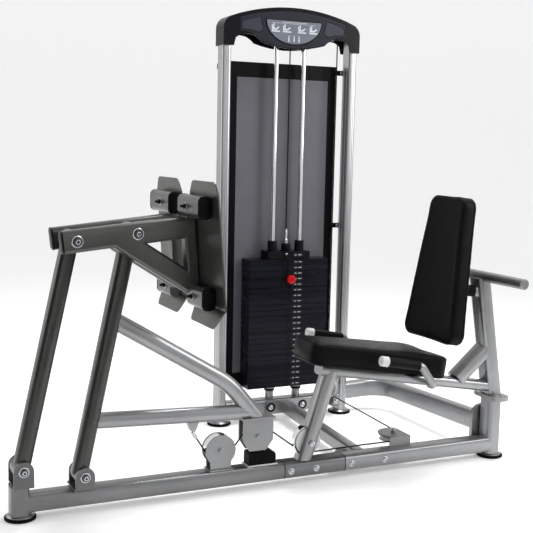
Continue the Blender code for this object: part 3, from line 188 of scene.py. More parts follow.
class Shape:
    """Collects closed forms into one mesh."""

    def __init__(self):
        self.bm = bmesh.new()

    def skin(self, rings, closed=True):
        """Joins rings of equal count, and closes both ends."""
        made = [[self.bm.verts.new(p) for p in ring] for ring in rings]
        count = len(made[0])
        for low, high in zip(made, made[1:]):
            for i in range(count):
                j = (i + 1) % count
                self.bm.faces.new((low[i], low[j], high[j], high[i]))
        if closed:
            self.bm.faces.new(list(reversed(made[0])))
            self.bm.faces.new(made[-1])
        return self

    def lathe(self, centre, axis, profile, sides, closed=True):
        """Turns (radius, height) points about an axis. A radius of 0 at an end becomes a small cap."""
        turn = frame_of(axis)
        base = Vector(centre)
        rings = []
        for radius, height in profile:
            rings.append([base + turn @ Vector((x, y, height)) for x, y in circle(max(radius, 1e-4), sides)])
        return self.skin(rings, closed)

    def prism(self, outline, low, high, bevel=0.0):
        """Extrudes an (x, z) outline along y; a bevel adds a small chamfer at both ends."""
        area = sum(a[0] * b[1] - b[0] * a[1] for a, b in zip(outline, outline[1:] + outline[:1]))
        if area < 0:
            outline = list(reversed(outline))
        levels = [(low, 0.0), (high, 0.0)]
        if bevel:
            levels = [(low, bevel), (low + bevel, 0.0), (high - bevel, 0.0), (high, bevel)]
        rings = []
        for w, inset in levels:
            rings.append(in_xz(inset_outline(outline, inset) if inset else outline, w))
        return self.skin(rings)

    def sweep(self, points, section, up=(0, 1, 0)):
        """Sweeps a section of (across, along up) points along a path, mitred at its corners."""
        rings = []
        for point, before, tangent in walked([Vector(p) for p in points]):
            side = Vector(up) - tangent * tangent.dot(Vector(up))
            side.normalize()
            other = tangent.cross(side)
            grow = 1.0 / max(0.4, tangent.dot(before))
            rings.append([point + side * u + other * v * grow for u, v in section])
        return self.skin(rings)

    def tube(self, points, radius, sides):
        """A round tube along points, carrying its frame along without twist."""
        rings = []
        normal = None
        for point, _, tangent in walked([Vector(p) for p in points]):
            if normal is None:
                normal = tangent.orthogonal().normalized()
            normal = (normal - tangent * normal.dot(tangent)).normalized()
            other = tangent.cross(normal)
            rings.append([point + normal * u + other * v for u, v in circle(radius, sides)])
        return self.skin(rings)

    def loop_tube(self, points, radius, sides):
        """A closed ring of tube."""
        path = [Vector(p) for p in points]
        count = len(path)
        rings = []
        normal = None
        for i, point in enumerate(path):
            tangent = (path[(i + 1) % count] - path[i - 1]).normalized()
            if normal is None:
                normal = tangent.orthogonal().normalized()
            normal = (normal - tangent * normal.dot(tangent)).normalized()
            other = tangent.cross(normal)
            rings.append([self.bm.verts.new(point + normal * u + other * v)
                          for u, v in circle(radius, sides)])
        start = rings[0][0].co
        twist = min(range(sides), key=lambda k: (rings[-1][k].co - start).length)
        for n in range(count):
            low, high = rings[n], rings[(n + 1) % count]
            shift = 0 if n < count - 1 else twist
            for i in range(sides):
                j = (i + 1) % sides
                self.bm.faces.new((low[(i + shift) % sides], low[(j + shift) % sides], high[j], high[i]))
        return self

    def bolt(self, place, axis, head, washer, tall):
        """A washer and a hexagon socket head with its recess."""
        self.lathe(place, axis, [(0, 0), (washer, 0), (washer, 0.0018), (washer - 0.0006, 0.0024),
                                 (0, 0.0024)], 24)
        rim = tall + 0.0024
        self.lathe(place, axis, [(0, 0.0022), (head - 0.0008, 0.0022), (head, 0.0032), (head, rim - 0.0016),
                                 (head - 0.0016, rim), (head * 0.56, rim), (head * 0.50, rim - 0.0040),
                                 (0, rim - 0.0040)], 24)
        return self

    def object(self, name, mat, sharp=32):
        bmesh.ops.recalc_face_normals(self.bm, faces=self.bm.faces)
        mesh = bpy.data.meshes.new(name)
        self.bm.to_mesh(mesh)
        self.bm.free()
        mesh.polygons.foreach_set("use_smooth", [True] * len(mesh.polygons))
        mesh.set_sharp_from_angle(angle=math.radians(sharp))
        made = bpy.data.objects.new(name, mesh)
        bpy.context.scene.collection.objects.link(made)
        made.data.materials.append(mat)
        return made

    def ride(self, name, mat, body, slot, replaces=(), sharp=32):
        made = self.object(name, mat, sharp)
        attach(made, body)
        if replaces:
            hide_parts(*replaces)
        return made


def inset_outline(outline, distance):
    """Moves each corner of an anticlockwise outline inwards."""
    made = []
    count = len(outline)
    for i, point in enumerate(outline):
        before, after = Vector(outline[i - 1]), Vector(outline[(i + 1) % count])
        here = Vector(point)
        d1, d2 = (here - before), (after - here)
        d1 = d1.normalized() if d1.length > 1e-9 else d2.normalized()
        d2 = d2.normalized() if d2.length > 1e-9 else d1
        n1, n2 = Vector((-d1.y, d1.x)), Vector((-d2.y, d2.x))
        middle = n1 + n2
        middle = middle.normalized() if middle.length > 1e-6 else n1
        made.append(tuple(here + middle * distance / max(0.5, middle.dot(n1))))
    return made


# ---------------------------------------------------------------- materials

def new_material(name):
    mat = bpy.data.materials.new(name)
    mat.use_nodes = True
    tree = mat.node_tree
    tree.nodes.clear()
    out = tree.nodes.new("ShaderNodeOutputMaterial")
    bsdf = tree.nodes.new("ShaderNodeBsdfPrincipled")
    tree.links.new(bsdf.outputs[0], out.inputs[0])
    return mat, tree, bsdf


def coordinates(tree, stretch=(1, 1, 1)):
    place = tree.nodes.new("ShaderNodeTexCoord")
    mapping = tree.nodes.new("ShaderNodeMapping")
    mapping.inputs["Scale"].default_value = stretch
    tree.links.new(place.outputs["Object"], mapping.inputs["Vector"])
    return mapping.outputs["Vector"]


def noise(tree, scale, detail, stretch=(1, 1, 1), rough=0.5):
    node = tree.nodes.new("ShaderNodeTexNoise")
    node.inputs["Scale"].default_value = scale
    node.inputs["Detail"].default_value = detail
    node.inputs["Roughness"].default_value = rough
    tree.links.new(coordinates(tree, stretch), node.inputs["Vector"])
    return node.outputs["Fac"]


def spread(tree, value, low, high, to_low, to_high):
    node = tree.nodes.new("ShaderNodeMapRange")
    node.inputs["From Min"].default_value = low
    node.inputs["From Max"].default_value = high
    node.inputs["To Min"].default_value = to_low
    node.inputs["To Max"].default_value = to_high
    tree.links.new(value, node.inputs["Value"])
    return node.outputs["Result"]


def mix_colour(tree, share, first, second):
    node = tree.nodes.new("ShaderNodeMix")
    node.data_type = "RGBA"
    for socket, value in ((node.inputs[6], first), (node.inputs[7], second)):
        if isinstance(value, tuple):
            socket.default_value = (*value, 1.0)
        else:
            tree.links.new(value, socket)
    tree.links.new(share, node.inputs[0])
    return node.outputs[2]


def bump(tree, height, distance, strength, under=None):
    node = tree.nodes.new("ShaderNodeBump")
    node.inputs["Distance"].default_value = distance
    node.inputs["Strength"].default_value = strength
    tree.links.new(height, node.inputs["Height"])
    if under is not None:
        tree.links.new(under, node.inputs["Normal"])
    return node.outputs["Normal"]


def edge_round(tree, radius):
    node = tree.nodes.new("ShaderNodeBevel")
    node.samples = 4
    node.inputs["Radius"].default_value = radius
    return node.outputs["Normal"]


def edge_highlight_mask(tree, rounded):
    """1 along edges, 0 on the flats: where the lighter edges, a painted highlight, go."""
    geometry = tree.nodes.new("ShaderNodeNewGeometry")
    dot = tree.nodes.new("ShaderNodeVectorMath")
    dot.operation = "DOT_PRODUCT"
    tree.links.new(geometry.outputs["Normal"], dot.inputs[0])
    tree.links.new(rounded, dot.inputs[1])
    return spread(tree, dot.outputs["Value"], 0.98, 0.80, 0.0, 1.0)


def scaled(colour, factor):
    return tuple(min(1.0, c * factor) for c in colour)


def painted(name, colour, rough, metal, radius=0.0012, cloud=5.0, edge_rub_and_highlight=0.35, streak=None, gloss=0.5,
            highlight_bands=None):
    """Powder coat: cloudy colour, fine metallic grain, orange peel, and edges lighter in patches: rubbed wear
    together with a painted edge highlight.
    """
    mat, tree, bsdf = new_material(name)
    clouds = noise(tree, cloud, 4.0, highlight_bands or (1, 1, 1))
    flakes = noise(tree, 2600.0, 1.0)
    # With bands the colour cloud is drawn out into strong lighter and darker stripes along single plates:
    # painted highlight bands.
    dark, light = (0.45, 1.90) if highlight_bands else (0.90, 1.10)
    base = mix_colour(tree, spread(tree, clouds, 0.3, 0.7, 0.0, 1.0), scaled(colour, dark),
                      scaled(colour, light))
    base = mix_colour(tree, spread(tree, flakes, 0.55, 0.75, 0.0, 0.35), base, scaled(colour, 1.35))
    rounded = edge_round(tree, radius) if radius else None
    # Lighter base colour along every edge, broken up by noise: a painted edge highlight together with rubbed
    # wear.
    if edge_rub_and_highlight and rounded:
        lighter_edge_mix = tree.nodes.new("ShaderNodeMath")
        lighter_edge_mix.operation = "MULTIPLY"
        tree.links.new(edge_highlight_mask(tree, rounded), lighter_edge_mix.inputs[0])
        tree.links.new(spread(tree, noise(tree, 60.0, 3.0), 0.40, 0.65, 0.15 * edge_rub_and_highlight, edge_rub_and_highlight), lighter_edge_mix.inputs[1])
        base = mix_colour(tree, lighter_edge_mix.outputs[0], base, scaled(colour, 1.7))
    tree.links.new(base, bsdf.inputs["Base Color"])
    smear = noise(tree, 14.0, 5.0, streak or (1, 1, 1), 0.6)
    tree.links.new(spread(tree, smear, 0.3, 0.7, rough * 0.85, rough * 1.18), bsdf.inputs["Roughness"])
    bsdf.inputs["Metallic"].default_value = metal
    bsdf.inputs["Specular IOR Level"].default_value = gloss
    peel = noise(tree, 1400.0, 2.0, streak or (1, 1, 1))
    tree.links.new(bump(tree, peel, 0.00010, 0.35, rounded), bsdf.inputs["Normal"])
    return mat


def moulded(name, colour, rough, grain=700.0, depth=0.00012, coat=0.0, lift=0.10, gloss=0.35):
    """Moulded plastic with a fine spark texture and slight handling marks."""
    mat, tree, bsdf = new_material(name)
    clouds = noise(tree, 9.0, 4.0)
    tree.links.new(mix_colour(tree, spread(tree, clouds, 0.3, 0.7, 0.0, 1.0), scaled(colour, 1 - lift),
                              scaled(colour, 1 + lift)), bsdf.inputs["Base Color"])
    tree.links.new(spread(tree, noise(tree, 22.0, 5.0), 0.3, 0.7, rough * 0.85, rough * 1.2),
                   bsdf.inputs["Roughness"])
    bsdf.inputs["Specular IOR Level"].default_value = gloss
    bsdf.inputs["Coat Weight"].default_value = coat
    bsdf.inputs["Coat Roughness"].default_value = 0.12
    tree.links.new(bump(tree, noise(tree, grain, 3.0), depth, 0.5, edge_round(tree, 0.0010)),
                   bsdf.inputs["Normal"])
    return mat


def bare_metal(name, colour, rough, streak, radius=0.0006, etch=0.10):
    """Plated or brushed metal with fine draw lines."""
    mat, tree, bsdf = new_material(name)
    lines = noise(tree, 420.0, 2.0, streak)
    tree.links.new(mix_colour(tree, spread(tree, lines, 0.35, 0.65, 0.0, 1.0), scaled(colour, 0.96),
                              scaled(colour, 1.04)), bsdf.inputs["Base Color"])
    tree.links.new(spread(tree, noise(tree, 6.0, 3.0, streak), 0.3, 0.7, rough * 0.92, rough * 1.08),
                   bsdf.inputs["Roughness"])
    bsdf.inputs["Metallic"].default_value = 1.0
    rounded = edge_round(tree, radius) if radius else None
    if etch:
        tree.links.new(bump(tree, lines, 0.00002, etch, rounded), bsdf.inputs["Normal"])
    elif rounded:
        tree.links.new(rounded, bsdf.inputs["Normal"])
    return mat


def leather_like(name):
    """Black vinyl: cell grain with painted shade in its creases, soft folds and a low sheen."""
    mat, tree, bsdf = new_material(name)
    cells = tree.nodes.new("ShaderNodeTexVoronoi")
    cells.feature = "DISTANCE_TO_EDGE"
    cells.inputs["Scale"].default_value = 620.0
    tree.links.new(coordinates(tree), cells.inputs["Vector"])
    crease = spread(tree, cells.outputs["Distance"], 0.0, 0.12, 0.0, 1.0)
    clouds = noise(tree, 7.0, 4.0)
    base = mix_colour(tree, spread(tree, clouds, 0.3, 0.7, 0.0, 1.0), (0.0022, 0.0022, 0.0028),
                      (0.0042, 0.0042, 0.0054))
    # The grain's creases are darker in the base colour: painted shade in the grain.
    base = mix_colour(tree, crease, (0.002, 0.002, 0.002), base)
    tree.links.new(base, bsdf.inputs["Base Color"])
    tree.links.new(spread(tree, noise(tree, 30.0, 5.0), 0.3, 0.7, 0.33, 0.46), bsdf.inputs["Roughness"])
    bsdf.inputs["Specular IOR Level"].default_value = 0.07
    folds = bump(tree, noise(tree, 9.0, 2.0), 0.0012, 0.25)
    tree.links.new(bump(tree, crease, 0.00015, 0.35, folds), bsdf.inputs["Normal"])
    return mat


MAT = {
    "silver": painted("silver_powder_coat", (0.270, 0.273, 0.278), 0.32, 0.85),
    # The rail, carriage, link, clevis and foot plate coats are darker copies of the silver coat: painted
    # shade on the parts at the front and left, away from the lamps.
    "silver_shaded": painted("rail_coat_painted_shade", (0.165, 0.167, 0.170), 0.32, 0.85),
    "carriage_shaded": painted("carriage_coat_painted_shade", (0.100, 0.100, 0.096), 0.30, 0.85),
    "link": painted("link_coat_painted_shade", (0.062, 0.062, 0.058), 0.30, 0.85),
    "clevis": painted("clevis_coat_painted_shade", (0.125, 0.126, 0.127), 0.38, 0.80, radius=0.0008),
    "bracket": painted("grey_bracket_coat", (0.220, 0.223, 0.227), 0.40, 0.80, radius=0.0008),
    "plate": painted("foot_plate_coat_painted_shade", (0.095, 0.095, 0.088), 0.33, 0.85, radius=0.0010, cloud=3.0),
    "black": painted("black_satin_paint", (0.004, 0.004, 0.005), 0.34, 0.0, radius=0.0008, edge_rub_and_highlight=0.10,
                     gloss=0.10),
    # The stack's stripes of lighter and darker plates are painted highlight bands.
    "stack": painted("weight_plate_black", (0.0045, 0.0045, 0.0080), 0.27, 0.0, radius=0.0, cloud=3.0,
                     edge_rub_and_highlight=0.0, highlight_bands=(0.25, 0.25, 13.0), streak=(0.15, 1, 1), gloss=0.13),
    "hole": painted("pin_hole_shadow", (0.002, 0.002, 0.002), 0.70, 0.0, radius=0.0003, edge_rub_and_highlight=0.0, gloss=0.05),
    "bolt": painted("dark_plated_bolt", (0.070, 0.072, 0.078), 0.30, 0.9, radius=0.0004, edge_rub_and_highlight=0.5),
    "alu": bare_metal("satin_aluminium", (0.40, 0.405, 0.415), 0.30, (1, 1, 0.02), 0.0, 0.0),
    "chrome": bare_metal("polished_chrome", (0.70, 0.71, 0.72), 0.10, (1, 1, 0.05), 0.0006, 0.0),
    "zinc": bare_metal("zinc_plate", (0.52, 0.53, 0.56), 0.24, (1, 1, 1)),
    "cover": moulded("cover_shell", (0.0040, 0.0040, 0.0055), 0.22, depth=0.00002, gloss=0.12),
    "fascia": moulded("cover_fascia", (0.016, 0.017, 0.023), 0.38, gloss=0.10),
    "wing": moulded("cover_wing_inset", (0.030, 0.032, 0.044), 0.34, gloss=0.14),
    "placard": moulded("placard_film", (0.105, 0.118, 0.150), 0.32, gloss=0.3),
    "print": moulded("printed_white", (0.48, 0.49, 0.51), 0.45, grain=300.0, depth=0.00003),
    "label": moulded("label_white", (0.42, 0.43, 0.45), 0.45, grain=300.0, depth=0.00003),
    "outline": moulded("label_outline", (0.060, 0.060, 0.066), 0.45, grain=300.0, depth=0.00003, gloss=0.2),
    "plastic": moulded("black_plastic", (0.0030, 0.0030, 0.0036), 0.33, gloss=0.07),
    "panel": moulded("smoked_panel", (0.110, 0.107, 0.122), 0.40, grain=1100.0, lift=0.05, gloss=0.2),
    "rubber": moulded("moulded_rubber", (0.0030, 0.0030, 0.0030), 0.55, grain=500.0, depth=0.0003,
                      gloss=0.05),
    "foam": moulded("grip_sleeve", (0.0030, 0.0030, 0.0030), 0.42, grain=420.0, depth=0.0004, gloss=0.08),
    "nylon": moulded("wheel_nylon", (0.50, 0.505, 0.51), 0.34, coat=0.2),
    "cap_white": moulded("grip_cap", (0.52, 0.525, 0.53), 0.30, coat=0.2),
    "red": moulded("knob_red", (0.42, 0.002, 0.004), 0.18, coat=0.4),
    "cable": moulded("cable_sheath", (0.004, 0.004, 0.005), 0.38, grain=300.0, depth=0.0004, gloss=0.12),
    "vinyl": leather_like("upholstery_vinyl"),
}

LOOKS = {
    "silver_shaded": ("front_rail", "middle_rail"),
    "silver": ("rear_rail", "curved_beam", "cross_beam", "base_crossmember", "arm_tube", "arm_brace",
               "seat_tube", "seat_post", "back_post", "back_brace", "post_flange", "handle_bar"),
    "carriage_shaded": ("carriage_frame",),
    "link": ("front_link", "rear_link"),
    "clevis": ("front_clevis", "rear_clevis"),
    "bracket": ("base_pulley_bracket", "arm_pulley_bracket", "turn_pulley_bracket"),
    "plate": ("near_foot_plate", "far_foot_plate"),
    "stack": ("resting_plates", "lifted_plates"),
    "black": ("head_plate", "top_crossmember", "seat_plate"),
    "bolt": ("front_lower_bolt", "rear_lower_bolt", "front_upper_bolt", "rear_upper_bolt"),
    "zinc": ("cable_fitting",),
    "chrome": ("left_guide_rod", "right_guide_rod"),
    "nylon": ("base_pulley", "arm_pulley", "seat_post_pulley", "turn_pulley", "tower_pulley",
              "left_top_pulley", "right_top_pulley"),
    "plastic": ("rear_shroud",),
    "cover": ("top_cover",),
    "placard": ("cover_placard",),
    "red": ("selector_pin",),
}


def dress_cad_nodes():
    """Gives each kept CAD node its material and welded smooth faces, and most of them weighted normals."""
    for look, names in LOOKS.items():
        for name in names:
            node = NODES[name]
            mesh = node.data
            if "custom_normal" in mesh.attributes:
                mesh.attributes.remove(mesh.attributes["custom_normal"])
            mesh.polygons.foreach_set("use_smooth", [True] * len(mesh.polygons))
            mesh.materials.clear()
            mesh.materials.append(MAT[look])
            weld = node.modifiers.new("weld", "WELD")
            weld.merge_threshold = 0.00002
            split = node.modifiers.new("split", "EDGE_SPLIT")
            split.split_angle = math.radians(31)
            if look not in ("silver", "silver_shaded", "link"):
                weighted = node.modifiers.new("weighted", "WEIGHTED_NORMAL")
                weighted.weight = 60


# ---------------------------------------------------------------- uprights and feet

TOWER_Y = 0.805
UPRIGHT_X = (1.0205, 1.6245)


def make_uprights():
    """Aluminium extrusions: rounded corners, with a pair of fine grooves on each side."""
    half_x, half_y, corner = 0.020, 0.034, 0.012
    groove = 0.0022
    inner_x, inner_y = half_x - corner, half_y - corner
    corners = [(inner_x, inner_y), (-inner_x, inner_y), (-inner_x, -inner_y), (inner_x, -inner_y)]
    section = []
    for i, outward in enumerate(((0, 1), (-1, 0), (0, -1), (1, 0))):
        section += arc(corners[i], corner, 90 * i, 90 * i + 90, 6)
        outward = Vector(outward)
        start, end = (Vector(corners[k % 4]) + outward * corner for k in (i, i + 1))
        for centre in (0.20, 0.80):
            for share, depth in ((-1.0, 0.0), (-0.45, 1.0), (0.45, 1.0), (1.0, 0.0)):
                along = centre + share * groove / (end - start).length
                section.append(tuple(start + (end - start) * along - outward * depth * groove))
    for name, x in (("left_upright", UPRIGHT_X[0]), ("right_upright", UPRIGHT_X[1])):
        low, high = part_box(name)
        shape = Shape()
        shape.skin([[Vector((x + u, TOWER_Y + v, z)) for u, v in section]
                    for z in np.linspace(low.z, high.z, 41)])
        shape.ride(name + "_extrusion", MAT["alu"], "frame", "upright_silver", (name,), sharp=28)


def make_feet():
    """A flared steel cup over a black rubber ring, for each of the four feet."""
    for name in ("front_foot", "rear_foot", "left_tower_foot", "right_tower_foot"):
        low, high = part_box(name)
        centre = ((low.x + high.x) / 2, (low.y + high.y) / 2, 0.0)
        radius = (high.x - low.x) / 2
        rubber = [(0, 0.0), (radius - 0.004, 0.0), (radius - 0.001, 0.0015), (radius, 0.004),
                  (radius, 0.0085), (radius - 0.0015, 0.0105), (radius - 0.006, 0.0110), (0, 0.0110)]
        ring = Shape().lathe(centre, (0, 0, 1), rubber, 48)
        ring.ride(name + "_rubber", MAT["rubber"], "frame", "rubber", (name,))
        cup = [(0, 0.0108), (radius - 0.0075, 0.0108), (radius - 0.0062, 0.0116), (radius - 0.0075, 0.0128),
               (0.041, 0.0150), (0.0385, 0.0165), (0.037, high.z - 0.0002), (0, high.z - 0.0002)]
        Shape().lathe(centre, (0, 0, 1), cup, 48).ride(name + "_cup", MAT["silver"], "frame", "zinc")


# ---------------------------------------------------------------- upholstery

SEAT = {"tilt": math.atan(0.1485), "front": (1.020, 0.534), "length": 0.550, "thick": 0.080}
BACK = {"tilt": math.atan((1.6226 - 1.5487) / 0.542), "bottom": (1.5470, 0.500), "length": 0.560,
        "thick": 0.060}


def seat_place(u, v, w):
    """Seat frame: u from its rear edge, v across, w below its top face."""
    c, s = math.cos(SEAT["tilt"]), math.sin(SEAT["tilt"])
    along = SEAT["length"] - u
    return Vector((SEAT["front"][0] + along * c - w * s, v, SEAT["front"][1] - along * s - w * c))


def back_place(u, v, w):
    """Back frame: u up from its lower edge, v across, w behind its front face."""
    c, s = math.cos(BACK["tilt"]), math.sin(BACK["tilt"])
    return Vector((BACK["bottom"][0] + u * s + w * c, v, BACK["bottom"][1] + u * c - w * s))


def pad_outline(length, half_wide, half_narrow, corner, inset, steps=8):
    """A tapered outline, wide at u = 0, anticlockwise, moved inwards by inset."""
    taper = (half_wide - half_narrow) / length
    lean = math.atan(taper)
    corners = [(0.0, -half_wide), (length, -half_narrow), (length, half_narrow), (0.0, half_wide)]
    turns = [(180, 270), (270, 360), (0, 90), (90, 180)]
    points = []
    for (u, v), (start, end) in zip(corners, turns):
        cu = u + (corner if u == 0.0 else -corner)
        cv = v + (corner * (1 + lean) if v < 0 else -corner * (1 + lean))
        points += arc((cu, cv), corner - inset, start, end, steps)
    return points


def subdivide_outline(points, spacing):
    made = []
    for a, b in zip(points, points[1:] + points[:1]):
        count = max(1, int((Vector(b) - Vector(a)).length / spacing))
        for i in range(count):
            made.append((a[0] + (b[0] - a[0]) * i / count, a[1] + (b[1] - a[1]) * i / count))
    return made


def swell(pad, cap):
    """Inflates the remeshed pad with cloth pressure, and limits how far a point may move."""
    scene = bpy.context.scene
    bpy.context.view_layer.objects.active = pad
    start = np.array([v.co for v in pad.data.vertices], float)
    cloth = pad.modifiers.new("cloth", "CLOTH")
    settings = cloth.settings
    for name, value in (("quality", 5), ("mass", 0.4), ("tension_stiffness", 40),
                        ("compression_stiffness", 40), ("shear_stiffness", 15), ("bending_stiffness", 1.5),
                        ("use_pressure", True), ("uniform_pressure_force", 4.0)):
        setattr(settings, name, value)
    settings.effector_weights.gravity = 0.0
    for number in range(1, 21):
        scene.frame_set(number)
    evaluated = pad.evaluated_get(bpy.context.evaluated_depsgraph_get())
    moved = np.array([v.co for v in evaluated.data.vertices], float)
    pad.modifiers.remove(cloth)
    scene.frame_set(1)
    step = moved - start
    edges = np.array([e.vertices[:] for e in pad.data.edges])
    count = np.bincount(edges.ravel(), minlength=len(step))[:, None]
    for _ in range(30):
        total = np.zeros_like(step)
        np.add.at(total, edges[:, 0], step[edges[:, 1]])
        np.add.at(total, edges[:, 1], step[edges[:, 0]])
        step = 0.35 * step + 0.65 * total / np.maximum(count, 1)
    size = np.linalg.norm(step, axis=1)
    limit = cap * np.tanh(size / cap)
    step *= (limit / np.maximum(size, 1e-9))[:, None]
    return start + step


def make_pad(name, node, place, length, half_wide, half_narrow, thick, corner, welts, cap):
    """One upholstered pad: filled cloth form, pulled in at its seams, with a piped welt on each seam."""
    slim = 0.0008
    edge = 0.010
    shape = Shape()
    levels = [(thick, 0.006), (thick - 0.004, 0.001), (thick - 0.010, 0.0), (edge, 0.0),
              (edge * 0.45, edge * 0.12), (edge * 0.12, edge * 0.45), (0.0, edge)]
    rings = []
    for w, inset in levels:
        outline = pad_outline(length, half_wide, half_narrow, corner, inset + slim)
        rings.append([Vector((u, v, slim * 0.6 + w * (1 - slim * 0.8 / thick))) for u, v in outline])
    shape.skin(rings)
    pad = shape.object(name, MAT["vinyl"], 180)
    remesh = pad.modifiers.new("remesh", "REMESH")
    remesh.mode = "VOXEL"
    remesh.voxel_size = 0.0050
    evaluated = pad.evaluated_get(bpy.context.evaluated_depsgraph_get())
    mesh = bpy.data.meshes.new_from_object(evaluated)
    pad.modifiers.clear()
    pad.data = mesh
    co = swell(pad, cap)
    crown = 1 - ((co[:, 0] - length / 2) / (length / 2)) ** 2
    crown *= 1 - (co[:, 1] / half_wide) ** 2
    front = np.clip(1 - co[:, 2] / (thick * 0.4), 0, 1)
    co[:, 2] -= 0.0030 * np.clip(crown, 0, 1) * front
    co[:, 2] = np.minimum(co[:, 2], thick - 0.0004)
    mesh.vertices.foreach_set("co", co.ravel())
    mesh.update()
    tree = BVHTree.FromPolygons([tuple(p) for p in co], [tuple(p.vertices) for p in mesh.polygons])
    lines = []
    for depth, inset in welts:
        line = []
        for u, v in subdivide_outline(pad_outline(length, half_wide, half_narrow, corner, 0.0, 10), 0.007):
            outward = Vector((u - length / 2, v, 0)).normalized()
            start = Vector((u, v, 0)) + outward * 0.05
            aim = Vector((length / 2, 0, 0)) - start
            aim.z = 0
            start.z = depth
            hit, normal, _, _ = tree.ray_cast(start, aim.normalized())
            if hit is not None:
                hit, normal, _, _ = tree.find_nearest(hit + aim.normalized() * inset)
                line.append((hit, normal))
        lines.append(line)
    seams = KDTree(sum(len(line) for line in lines))
    for i, (hit, _) in enumerate(p for line in lines for p in line):
        seams.insert(hit, i)
    seams.balance()
    normals = np.array([v.normal for v in mesh.vertices], float)
    pull = np.array([0.0014 * math.exp(-(seams.find(p)[2] / 0.0060) ** 2) for p in co])
    co -= normals * pull[:, None]
    world = np.array([place(*p) for p in co], float)
    mesh.vertices.foreach_set("co", world.ravel())
    mesh.update()
    mesh.polygons.foreach_set("use_smooth", [True] * len(mesh.polygons))
    if not mesh.materials:
        mesh.materials.append(MAT["vinyl"])
    flip_if_inside_out(mesh)
    subdivide = pad.modifiers.new("subdivide", "SUBSURF")
    subdivide.levels = subdivide.render_levels = 1
    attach(pad, "frame")
    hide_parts(node)
    piping = Shape()
    for line in lines:
        piping.loop_tube([place(*(hit - normal * 0.0014)) for hit, normal in line], 0.0026, 8)
    piping.ride(name + "_welts", MAT["vinyl"], "frame", "vinyl", sharp=180)


def flip_if_inside_out(mesh):
    bm = bmesh.new()
    bm.from_mesh(mesh)
    if bm.calc_volume(signed=True) < 0:
        bmesh.ops.reverse_faces(bm, faces=bm.faces)
        bm.to_mesh(mesh)
    bm.free()


def make_back_board():
    """A black moulded board behind the back pad, with a sleeve over its bracket."""
    board = Shape()
    levels = [(BACK["thick"] + 0.0086, 0.004), (BACK["thick"] + 0.0090, 0.0), (BACK["thick"] + 0.0125, 0.0),
              (BACK["thick"] + 0.0140, 0.005)]
    board.skin([[back_place(0.110 + u, v, w) for u, v in pad_outline(0.190, 0.060, 0.056, 0.014, inset)]
                for w, inset in levels])
    board.ride("back_board", MAT["plastic"], "frame", "black_plastic", sharp=40)
    start, end = back_place(0.205, 0, BACK["thick"] + 0.0120), Vector((1.7550, 0, 0.6803))
    sleeve = Shape().sweep([start, end], rounded_box(0.0530, 0.0430, 0.0090, 4))
    sleeve.ride("back_bracket_sleeve", MAT["plastic"], "frame", "black_plastic", sharp=40)


def make_upholstery():
    make_pad("seat_cushion", "seat_pad", seat_place, SEAT["length"], 0.168, 0.108, SEAT["thick"], 0.045,
             ((0.008, 0.001), (SEAT["thick"] - 0.010, 0.0)), 0.004)
    make_pad("back_cushion", "back_pad", back_place, BACK["length"], 0.173, 0.122, BACK["thick"], 0.042,
             ((0.008, 0.001), (BACK["thick"] - 0.010, 0.0)), 0.004)


# ---------------------------------------------------------------- grips

GRIP_Y = 0.283


def make_grips():
    """Each grip is a soft sleeve behind a pale moulded end cap."""
    for name, y in (("near_grip", -GRIP_Y), ("far_grip", GRIP_Y)):
        front, rear = Vector((1.178, y, 0.4990)), Vector((1.347, y, 0.4675))
        axis = rear - front
        length = axis.length - 0.011
        cap = [(0, 0.0012), (0.0060, 0.0012), (0.0068, 0.0), (0.0145, 0.0), (0.0168, 0.0012),
               (0.0177, 0.0040), (0.0177, 0.0230),
               (0.0184, 0.0262), (0.0168, 0.0276), (0.0125, 0.0276), (0, 0.0276)]
        end = Shape().lathe(front, axis, cap, 32)
        end.ride(name + "_cap", MAT["cap_white"], "frame", "zinc", (name,), sharp=60)
        sleeve = [(0.0138, 0.0277), (0.0158, 0.0280), (0.0166, 0.0300)]
        for i in range(1, 12):
            z = 0.030 + (length - 0.034) * i / 12
            sleeve += [(0.0166, z - 0.0030), (0.0159, z - 0.0012), (0.0159, z + 0.0012), (0.0166, z + 0.0030)]
        sleeve += [(0.0166, length - 0.002), (0.0152, length), (0.0138, length)]
        soft = Shape().lathe(front, axis, sleeve, 32)
        soft.ride(name + "_sleeve", MAT["foam"], "frame", "foam_grip", sharp=50)


# ---------------------------------------------------------------- end caps, bolts and small hardware

# X and Z of the four-bar's pivots, and of the ends of the foot plates' line
PIVOT_A = (0.0043, 0.1707)
PIVOT_B = (0.2041, 0.1284)
PIVOT_C = (0.168, 0.914)
PIVOT_D = (0.366, 0.9355)
PANEL_TOP = (0.5595, 1.067)
PANEL_BOTTOM = (0.5875, 0.704)
# the two tubes that hold the foot plates: height, and width, depth and corner radius of the section
UPPER_Z, LOWER_Z = 1.0265, 0.7320
TUBE = (0.073, 0.046, 0.017)
PLATE_BOLTS = ((UPPER_Z, 0.128), (LOWER_Z, 0.140))
FLANGE_BOLTS_X = (1.252, 1.410)
BOLT_SIZE = (0.0080, 0.0125, 0.0068)


def panel_x(z):
    share = (PANEL_TOP[1] - z) / (PANEL_TOP[1] - PANEL_BOTTOM[1])
    return PANEL_TOP[0] + (PANEL_BOTTOM[0] - PANEL_TOP[0]) * share


def beam_z(x):
    return PIVOT_C[1] + (PIVOT_D[1] - PIVOT_C[1]) / (PIVOT_D[0] - PIVOT_C[0]) * (x - PIVOT_C[0])


